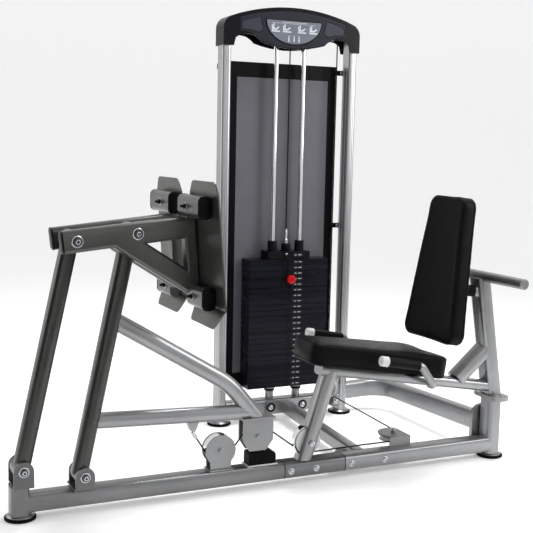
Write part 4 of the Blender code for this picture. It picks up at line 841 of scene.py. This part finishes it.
def end_cap(shape, centre, outward, across, wide, deep, radius, rise):
    """A domed plug in the end of an oval tube. across is the direction of its wide side."""
    out = Vector(outward).normalized()
    side = Vector(across).normalized()
    other = out.cross(side)
    rings = []
    for height, inset in ((-0.004, 0.003), (0.0, 0.003), (0.0, -0.0006), (0.0015, -0.0010),
                          (rise * 0.55, 0.0008), (rise * 0.85, 0.0045), (rise, 0.0110)):
        section = rounded_box(wide - 2 * inset, deep - 2 * inset, max(0.003, radius - inset), 6)
        rings.append([Vector(centre) + out * height + side * u + other * v for u, v in section])
    shape.skin(rings)


def bolt_face(shape, place, sign, washer):
    """The bright rim of a pivot bolt's washer and the hexagon ring of its head."""
    rim = [(washer - 0.0042, 0.0030), (washer - 0.0040, 0.0040), (washer - 0.0012, 0.0040),
           (washer + 0.0002, 0.0026), (washer + 0.0002, 0.0)]
    shape.lathe(place, (0, sign, 0), rim, 36, closed=False)
    face = place + Vector((0, sign * 0.0113, 0))
    shape.lathe(face, (0, sign, 0), [(0.0086, -0.0020), (0.0086, 0.0022), (0.0078, 0.0030), (0.0050, 0.0030),
                                     (0.0047, 0.0020), (0.0047, -0.0020)], 6, closed=False)


def make_carriage_details():
    caps = Shape()
    slope = Vector((PIVOT_D[0] - PIVOT_C[0], 0, PIVOT_D[1] - PIVOT_C[1])).normalized()
    for sign in (-1, 1):
        end_cap(caps, (0.1255, sign * 0.071, beam_z(0.1255)), -slope, (0, 1, 0), 0.050, 0.073, 0.014, 0.006)
        for z, y, facing, rise in ((UPPER_Z, 0.240, 1, 0.007), (LOWER_Z, 0.226, 1, 0.007),
                                   (UPPER_Z, 0.047, -1, 0.0035)):
            end_cap(caps, (panel_x(z) - 0.024, sign * y, z), (0, sign * facing, 0), (0, 0, 1), *TUBE, rise)
    caps.ride("carriage_end_caps", MAT["plastic"], "carriage", "black_plastic", sharp=50)
    bolts, collars = Shape(), Shape()
    for sign in (-1, 1):
        for z, y in PLATE_BOLTS:
            x = panel_x(z) - 0.047
            base = Vector((x - 0.0003, sign * y, z))
            collars.lathe(base, (-1, 0, 0),
                          [(0, 0), (0.0125, 0), (0.0125, 0.0016), (0.0115, 0.0024), (0, 0.0024)], 24)
            bolts.lathe(base, (-1, 0, 0),
                        [(0, 0.002), (0.0088, 0.002), (0.0092, 0.0030), (0.0088, 0.0080), (0.0052, 0.0085),
                         (0.0050, 0.0160), (0.0030, 0.0195), (0, 0.0205)], 20)
    collars.ride("plate_bolt_washers", MAT["zinc"], "carriage", "zinc")
    bolts.ride("plate_bolts", MAT["black"], "carriage", "black_steel", sharp=40)
    heads = Shape()
    for sign in (-1, 1):
        for z, y in PLATE_BOLTS:
            normal = Vector((0.363, 0, 0.028)).normalized()
            heads.lathe(Vector((panel_x(z) + 0.0050, sign * y, z)), normal,
                        [(0, 0), (0.0110, 0), (0.0106, 0.0016), (0.0085, 0.0040), (0.0042, 0.0052),
                         (0.0036, 0.0030), (0, 0.0030)], 24)
    heads.ride("plate_screw_heads", MAT["zinc"], "carriage", "zinc", sharp=40)
    inner = Shape()
    for x, z in (PIVOT_C, PIVOT_D):
        for sign in (-1, 1):
            bolt_face(inner, Vector((x, sign * 0.0963, z)), sign, 0.0195)
    inner.ride("upper_bolt_faces", MAT["zinc"], "carriage", "zinc", sharp=30)


def make_frame_hardware():
    """Bolts on the rail, clevises, brackets, flanges and under the seat."""
    bolts = Shape()
    for x in (0.966, 1.068, 1.2156, 1.361):
        for side in (-1, 1):
            bolts.bolt((x, side * 0.0381, 0.0550), (0, side, 0), *BOLT_SIZE)
    for x, z in (PIVOT_A, PIVOT_B):
        for sign in (-1, 1):
            bolt_face(bolts, Vector((x, sign * 0.0503, z)), sign, 0.0175)
    bolts.bolt((BASE_WHEEL[0], -0.0226, BASE_WHEEL[1]), (0, -1, 0), 0.0072, 0.0105, 0.0050)
    bolts.bolt((POST_WHEEL[0], -0.0442, POST_WHEEL[1]), (0, -1, 0), 0.0070, 0.0105, 0.0045)
    bolts.bolt((*TURN_WHEEL, 0.1325), (0, 0, 1), 0.0070, 0.0110, 0.0060)
    for x in FLANGE_BOLTS_X:
        bolts.bolt((x, 0.7598, 0.0660), (0, -1, 0), *BOLT_SIZE)
    bolts.bolt((1.590, 0.7708, 0.0640), (0, -1, 0), *BOLT_SIZE)
    bolts.ride("frame_bolts", MAT["zinc"], "frame", "zinc", sharp=30)
    washers = Shape()
    for x in FLANGE_BOLTS_X:
        washers.lathe((x, 0.7601, 0.0660), (0, -1, 0),
                      [(0, 0), (0.0215, 0), (0.0215, 0.0012), (0, 0.0012)], 28)
    washers.ride("flange_washers", MAT["black"], "frame", "black_steel", sharp=40)
    arm = Shape()
    for side in (-1, 1):
        arm.bolt((ARM_WHEEL[0], side * 0.0226, ARM_WHEEL[1]), (0, side, 0), 0.0072, 0.0105, 0.0050)
    arm.ride("arm_wheel_bolts", MAT["zinc"], "arm", "zinc", sharp=30)
    seams = Shape()
    for x in (0.941, 1.191):
        section = rounded_box(0.0768, 0.0608, 0.0174, 5)
        seams.skin([[Vector((x + dx, u, 0.055 + v)) for u, v in section] for dx in (-0.0016, 0.0014)])
    seams.ride("rail_joint_lines", MAT["plastic"], "frame", "black_plastic", sharp=40)


# ---------------------------------------------------------------- weight stack details

STACK_X = 1.328
STACK_HALF = 0.0885 / 2
STACK_FRONT = TOWER_Y - STACK_HALF
STACK_BOTTOM = 0.156
PITCH = 0.025
PLATES = 23
LIFTED = 4
ROD_OFFSET = 0.066


def make_stack_details():
    for body, first, last in (("frame", 0, PLATES - LIFTED), ("weight_stack", PLATES - LIFTED, PLATES)):
        labels, backs, holes, rings = Shape(), Shape(), Shape(), Shape()
        rows = [STACK_BOTTOM + (i + 0.5) * PITCH for i in range(first, last)]
        fronts = [STACK_FRONT] * len(rows)
        if body == "weight_stack":
            rows.append(STACK_BOTTOM + PLATES * PITCH + 0.018)
            fronts.append(TOWER_Y - 0.040)
        for z, face in zip(rows, fronts):
            sticker = shifted(rounded_box(0.048, 0.0125, 0.0060, 4), STACK_X + 0.0420, z)
            backs.prism(sticker, face - 0.0005, face + 0.0005)
            rings.loop_tube(in_xz(subdivide_outline(sticker, 0.012), face - 0.0004), 0.0006, 4)
            for offset, wide in ((0.0310, 0.0110), (0.0515, 0.0160)):
                dash = shifted(rounded_box(wide, 0.0034, 0.0014, 3), STACK_X + offset, z)
                labels.prism(dash, face - 0.0009, face)
            if face == STACK_FRONT:
                # A near-black disc with a rim at each pin hole: painted shade inside the hole.
                holes.lathe((STACK_X, face + 0.0003, z), (0, -1, 0),
                            [(0, 0.0), (0.0064, 0.0), (0.0068, 0.0008), (0.0080, 0.0008), (0.0084, 0.0002),
                             (0.0084, -0.0010)], 20, closed=False)
        labels.ride(f"{body}_plate_marks", MAT["label"], body, "upright_silver")
        rings.ride(f"{body}_label_outlines", MAT["outline"], body, "smoked_panel", sharp=180)
        backs.ride(f"{body}_plate_labels", MAT["plastic"], body, "black_plastic")
        holes.ride(f"{body}_pin_holes", MAT["hole"], body, "black_steel", sharp=50)
    cushions = Shape()
    for side in (-1, 1):
        cushions.lathe((STACK_X + side * ROD_OFFSET, TOWER_Y, 0.0), (0, 0, 1),
                       [(0.0119, 0.1340), (0.0215, 0.1340), (0.0230, 0.1360), (0.0230, 0.1535),
                        (0.0215, 0.1555), (0.0119, 0.1555)], 28)
    cushions.ride("stack_bumpers", MAT["rubber"], "frame", "rubber", sharp=40)
    buttons = Shape()
    top = STACK_BOTTOM + PLATES * PITCH + 0.034
    for side in (-1, 1):
        buttons.lathe((STACK_X + side * ROD_OFFSET, TOWER_Y, top + 0.0300), (0, 0, 1),
                      [(0.0128, 0), (0.0205, 0), (0.0205, 0.0145), (0.0193, 0.0160), (0.0128, 0.0160)], 32,
                      closed=False)
    buttons.lathe((STACK_X, TOWER_Y, top), (0, 0, 1),
                  [(0.0126, 0.0002), (0.0190, 0.0002), (0.0198, 0.0015), (0.0198, 0.0300), (0.0185, 0.0320),
                   (0.0165, 0.0335), (0.0128, 0.0335)], 32, closed=False)
    buttons.ride("head_plate_collars", MAT["black"], "weight_stack", "black_steel")
    tag = Shape().lathe((STACK_X - 0.014, STACK_FRONT + 0.0040, top - 0.012), (0, -1, 0),
                        [(0, 0), (0.0055, 0), (0.0055, 0.0020), (0.0040, 0.0036), (0, 0.0038)], 16)
    tag.ride("lanyard_screw", MAT["zinc"], "weight_stack", "zinc")
    make_lanyard(top)


def make_lanyard(top):
    """A flat black strap from the head plate's screw to the selector knob."""
    pin_z = STACK_BOTTOM + (PLATES - LIFTED + 0.5) * PITCH
    start = Vector((STACK_X - 0.014, STACK_FRONT + 0.0005, top - 0.012))
    end = Vector((STACK_X - 0.004, STACK_FRONT - 0.0135, pin_z + 0.010))
    path = []
    for i in range(25):
        t = i / 24
        point = start.lerp(end, t)
        point.x += -0.0085 * math.sin(math.pi * t)
        point.y -= 0.0120 * math.sin(math.pi * min(1.0, t * 1.2))
        path.append(point)
    strap = Shape().sweep(path, rounded_box(0.0075, 0.0018, 0.0007, 2), up=(1, 0, 0))
    made = strap.object("knob_lanyard", MAT["rubber"], 60)
    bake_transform(made)


# ---------------------------------------------------------------- top cover and shroud

COVER_FRONT = TOWER_Y - 0.045
MID_X = 1.3225
CAP_BOTTOM = 1.642
CAP_TOP = 1.815
CAP_HALF = 0.325


def crown_z(x):
    """The height of the cover's upper edge at x from its middle."""
    shoulder = 0.052
    rise = CAP_TOP - (1.714 + shoulder)
    reach = CAP_HALF - shoulder * 0.75
    return CAP_TOP - rise * (min(1.0, abs(x) / reach)) ** 2


def make_cover_details():
    """Edge band, fascia panels, black lines of painted shadow round the wing panels and the placard rim, and
    the placard's generic pictograms.
    """
    front = COVER_FRONT
    band = Shape()
    upper = [(x, crown_z(x) - 0.0010) for x in np.linspace(-0.262, 0.262, 31)]
    lower = [(x, crown_z(x) - 0.0135) for x in np.linspace(0.262, -0.262, 31)]
    band.prism([(MID_X + x, z) for x, z in upper + lower], front - 0.0016, front + 0.0005)
    band.ride("cover_edge_band", MAT["cover"], "frame", "cover_plastic", sharp=40)
    fascia = Shape()
    top = [(x, crown_z(x) - 0.0165) for x in np.linspace(-0.250, 0.250, 31)]
    low = []
    for x in np.linspace(0.250, -0.250, 31):
        if abs(x) < 0.150:
            z = CAP_BOTTOM + 0.003 + 0.024 * (x / 0.150) ** 2
        else:
            share = (abs(x) - 0.150) / 0.100
            z = CAP_BOTTOM + 0.027 + 0.036 * math.sin(share * 1.8)
        low.append((x, z))
    fascia.prism([(MID_X + x, z) for x, z in top + low], front - 0.0010, front + 0.0005)
    fascia.ride("cover_fascia", MAT["fascia"], "frame", "cover_plastic", sharp=40)
    wings, lines = Shape(), Shape()
    for sign in (-1, 1):
        outline = [(0.158, crown_z(0.158) - 0.030), (0.235, crown_z(0.235) - 0.034), (0.246, 1.735),
                   (0.240, 1.712), (0.205, 1.712), (0.165, 1.702), (0.145, 1.715)]
        outline = [(MID_X + sign * x, z) for x, z in outline]
        wings.prism(outline, front - 0.0016, front)
        # Black lines round the wing panels and the placard: painted shadow at their edges.
        lines.loop_tube(in_xz(subdivide_outline(outline, 0.008), front - 0.0014), 0.0012, 6)
    rim = [(-0.133, 1.7605), (0.133, 1.7605)] + [(0.133 * math.cos(a), 1.7585 + 0.133 * 0.745 * math.sin(a))
                                                for a in np.linspace(0, -math.pi, 33)][1:-1]
    rim = [(MID_X + x, z) for x, z in rim]
    lines.loop_tube(in_xz(subdivide_outline(rim, 0.008), front - 0.0018), 0.0016, 6)
    wings.ride("cover_wing_panels", MAT["wing"], "frame", "cover_plastic", sharp=40)
    lines.ride("cover_shadow_lines", MAT["plastic"], "frame", "black_plastic", sharp=180)
    prints = Shape()
    face = front - 0.0035

    def mark(outline, x=0.0, z=0.0):
        prints.prism(shifted(outline, MID_X + x, z), face - 0.0004, face + 0.0004)

    mark([(-0.104, 1.7462), (0.104, 1.7462), (0.104, 1.7474), (-0.104, 1.7474)])
    mark([(-0.060, 1.7512), (0.060, 1.7512), (0.060, 1.7530), (-0.060, 1.7530)])
    back = [(-0.018, 0.004), (-0.012, 0.004), (-0.015, 0.026), (-0.020, 0.026)]
    figure = [(-0.012, 0.0055), (0.004, 0.0055), (0.017, 0.0165), (0.013, 0.0205), (0.001, 0.0115),
              (-0.006, 0.0115), (-0.008, 0.0240), (-0.0125, 0.0240)]
    for x in (-0.088, -0.035, 0.037, 0.092):
        for outline in (rounded_box(0.040, 0.0055, 0.0012, 2), back, figure):
            mark(outline, x, 1.7120)
        mark(circle(0.0038, 12), x - 0.0095, 1.7408 - 0.0010)
    for x in (-0.0255, 0.0, 0.0230):
        mark(rounded_box(0.0055, 0.0190, 0.0020, 3), x, 1.6800)
        mark(circle(0.0028, 10), x, 1.6935)
    prints.ride("placard_pictograms", MAT["print"], "frame", "upright_silver")


def make_shroud_panels():
    low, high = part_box("rear_shroud")
    x0, x1 = MID_X - 0.260 + 0.0165, MID_X + 0.260 - 0.0385
    z0, z1 = low.z + 0.0645, high.z - 0.0645
    face = TOWER_Y + STACK_HALF + 0.0035
    for name, y0, y1 in (("shroud_front_panel", face + 0.0010, face + 0.0032),
                         ("shroud_back_panel", face + 0.0088, face + 0.0110)):
        shape = Shape().prism([(x0, z0), (x1, z0), (x1, z1), (x0, z1)], y0, y1, bevel=0.0008)
        shape.ride(name, MAT["panel"], "frame", "smoked_panel")
    clips = Shape()
    for z in (0.221, 0.871, 1.559):
        for x in (MID_X - 0.290, MID_X + 0.290):
            clips.bolt((x, face + 0.0018, z), (0, -1, 0), 0.0050, 0.0085, 0.0040)
    clips.ride("shroud_screws", MAT["zinc"], "frame", "zinc")


# ---------------------------------------------------------------- cables

CABLE_R = 0.0028
WHEEL_R, TURN_R, TOP_R = 0.045, 0.050, 0.040
BASE_WHEEL = (0.6956, 0.1571)
ARM_WHEEL = (0.8375, 0.1929)
POST_WHEEL = (1.046, 0.150)
TURN_WHEEL = (1.457, 0.062)
TURN_Z = 0.1045
TOWER_WHEEL = (0.760, 0.139)
TOWER_WHEEL_X = 1.560
TOP_Z = 1.735


def crossing(first, r1, second, r2, side):
    """Angle on the first wheel where a cable that crosses over leaves it for the second."""
    away = (second[0] - first[0], second[1] - first[1])
    return math.atan2(away[1], away[0]) + side * math.acos((r1 + r2) / math.hypot(*away))


def touching(centre, radius, point, side):
    away = (point[0] - centre[0], point[1] - centre[1])
    return math.atan2(away[1], away[0]) + side * math.acos(radius / math.hypot(*away))


def wrap(centre, radius, start, end, steps):
    """An arc between two angles in radians."""
    return arc(centre, radius, math.degrees(start), math.degrees(end), steps)


def straight_run(name, start, end):
    """A taut run between a wheel on the frame and one on the arm: only its two ends have points."""
    made = Shape().tube([start, end], CABLE_R, 12).object(name, MAT["cable"], 60)
    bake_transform(made)
    return made


def make_cables():
    clamp = (0.5955, 0.2315 - CABLE_R)
    leave_base = crossing(BASE_WHEEL, WHEEL_R, ARM_WHEEL, WHEEL_R, -1)
    first = touching(BASE_WHEEL, WHEEL_R, clamp, 1)
    on_base = in_xz(wrap(BASE_WHEEL, WHEEL_R, first, 2 * math.pi + leave_base, 24))
    arm_in = math.pi + leave_base
    arm_out = crossing(ARM_WHEEL, WHEEL_R, POST_WHEEL, WHEEL_R, 1)
    on_arm = in_xz(wrap(ARM_WHEEL, WHEEL_R, arm_in, arm_out, 18))
    on_post = in_xz(wrap(POST_WHEEL, WHEEL_R, math.pi + arm_out, 1.5 * math.pi, 14))
    x, y = TURN_WHEEL
    foot = (TOWER_WHEEL_X, TOWER_WHEEL[0])
    leave_turn = touching((x, y), TURN_R, foot, -1)
    turn = [Vector((px, py, TURN_Z)) for px, py in wrap((x, y), TURN_R, -0.5 * math.pi, leave_turn, 16)]
    lower = POST_WHEEL[1] - WHEEL_R
    along = [Vector((1.16, (y - TURN_R) * 0.4, lower)), Vector((1.30, y - TURN_R, TURN_Z))]
    bottom = [Vector((TOWER_WHEEL_X, py, pz))
              for py, pz in wrap(TOWER_WHEEL, WHEEL_R, -0.5 * math.pi, 0.0, 12)]
    midway = Vector(((turn[-1].x + bottom[0].x) / 2, 0.40, 0.1000))
    right, left = (TOWER_WHEEL_X - TOP_R, TOP_Z), (STACK_X + TOP_R, TOP_Z)
    above = in_xz(wrap(right, TOP_R, 0.0, 0.5 * math.pi, 12), TOWER_Y)
    above += in_xz(wrap(left, TOP_R, 0.5 * math.pi, math.pi, 12), TOWER_Y)
    above.append(Vector((STACK_X, TOWER_Y, 1.640)))
    whole = Shape()
    whole.tube(on_base, CABLE_R, 12)
    whole.tube(on_post + along + turn + [midway] + bottom + above, CABLE_R, 12)
    whole.ride("drive_cable_on_frame", MAT["cable"], "frame", "cable_black", ("drive_cable",), sharp=60)
    Shape().tube(on_arm, CABLE_R, 12).ride("drive_cable_on_arm", MAT["cable"], "arm", "cable_black", sharp=60)
    swage = in_xz([clamp])[0]
    straight_run("cable_clamp_run", on_base[0], swage)
    straight_run("cable_base_run", on_base[-1], on_arm[0])
    straight_run("cable_post_run", on_post[0], on_arm[-1])
    sleeve = Shape().lathe(swage, (on_base[0] - swage).normalized(),
                           [(0, 0.0), (0.0062, 0.0), (0.0066, 0.0015), (0.0066, 0.0220), (0.0046, 0.0260),
                            (0.0036, 0.0300), (0, 0.0300)], 20)
    sleeve.ride("cable_swage", MAT["zinc"], "arm", "zinc", sharp=40)
    low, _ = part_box("stack_cable")
    stack = Shape().tube([Vector((STACK_X, TOWER_Y, low.z)), Vector((STACK_X, TOWER_Y, 1.640))], CABLE_R, 12)
    made = stack.object("stack_cable_run", MAT["cable"], 60)
    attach(made, "frame")
    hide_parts("stack_cable")
    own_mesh(made)


# ---------------------------------------------------------------- bumper and wheel guards

def make_bumper():
    """The rubber stop block on its thin base, in the pale nylon material."""
    x0, x1, low, top = 0.8030, 0.9090, 0.0853, 0.1373
    base = Shape()
    base.prism([(x0 - 0.005, low), (x1 + 0.005, low), (x1 + 0.005, low + 0.0045), (x0 - 0.005, low + 0.0045)],
               -0.0298, 0.0298, bevel=0.0006)
    base.ride("bumper_base", MAT["nylon"], "frame", "zinc", sharp=30)
    block = Shape()
    outline = [(x0 + 0.0003, low + 0.0047), (x1 - 0.0003, low + 0.0047)]
    outline += arc((x1 - 0.0203, top - 0.0203), 0.020, 0, 90, 10)
    outline += arc((x0 + 0.0083, top - 0.0083), 0.008, 90, 180, 6)
    block.prism(outline, -0.0258, 0.0258, bevel=0.0012)
    block.ride("bumper_block", MAT["rubber"], "frame", "rubber", ("stop_bumper",), sharp=40)


def make_wheel_guard():
    """Plated straps that keep the cable on the wheels of the seat post and the base bracket."""
    for name, wheel, outer, inner, start, end, steps, half, bevel in (
            ("wheel_guard", POST_WHEEL, 0.0600, 0.0572, 106, 222, 28, 0.0125, 0.0006),
            ("base_wheel_guard", BASE_WHEEL, 0.0545, 0.0522, 62, 172, 20, 0.0168, 0.0005)):
        strap = arc(wheel, outer, start, end, steps) + arc(wheel, inner, end, start, steps)
        made = Shape().prism(strap, -half, half, bevel=bevel)
        made.ride(name, MAT["chrome"], "frame", "zinc", sharp=30)
    knob = Shape().lathe((1.0180, 0.0, 0.2010), (-0.55, 0, 0.83),
                         [(0, 0), (0.0085, 0), (0.0085, 0.0060), (0.0060, 0.0085), (0, 0.0090)], 20)
    knob.ride("guard_screw", MAT["black"], "frame", "black_steel")


# ---------------------------------------------------------------- build

make_camera()
make_stage()
dress_cad_nodes()
make_uprights()
make_feet()
make_upholstery()
make_back_board()
make_grips()
make_carriage_details()
make_frame_hardware()
make_stack_details()
make_cover_details()
make_shroud_panels()
make_cables()
make_bumper()
make_wheel_guard()
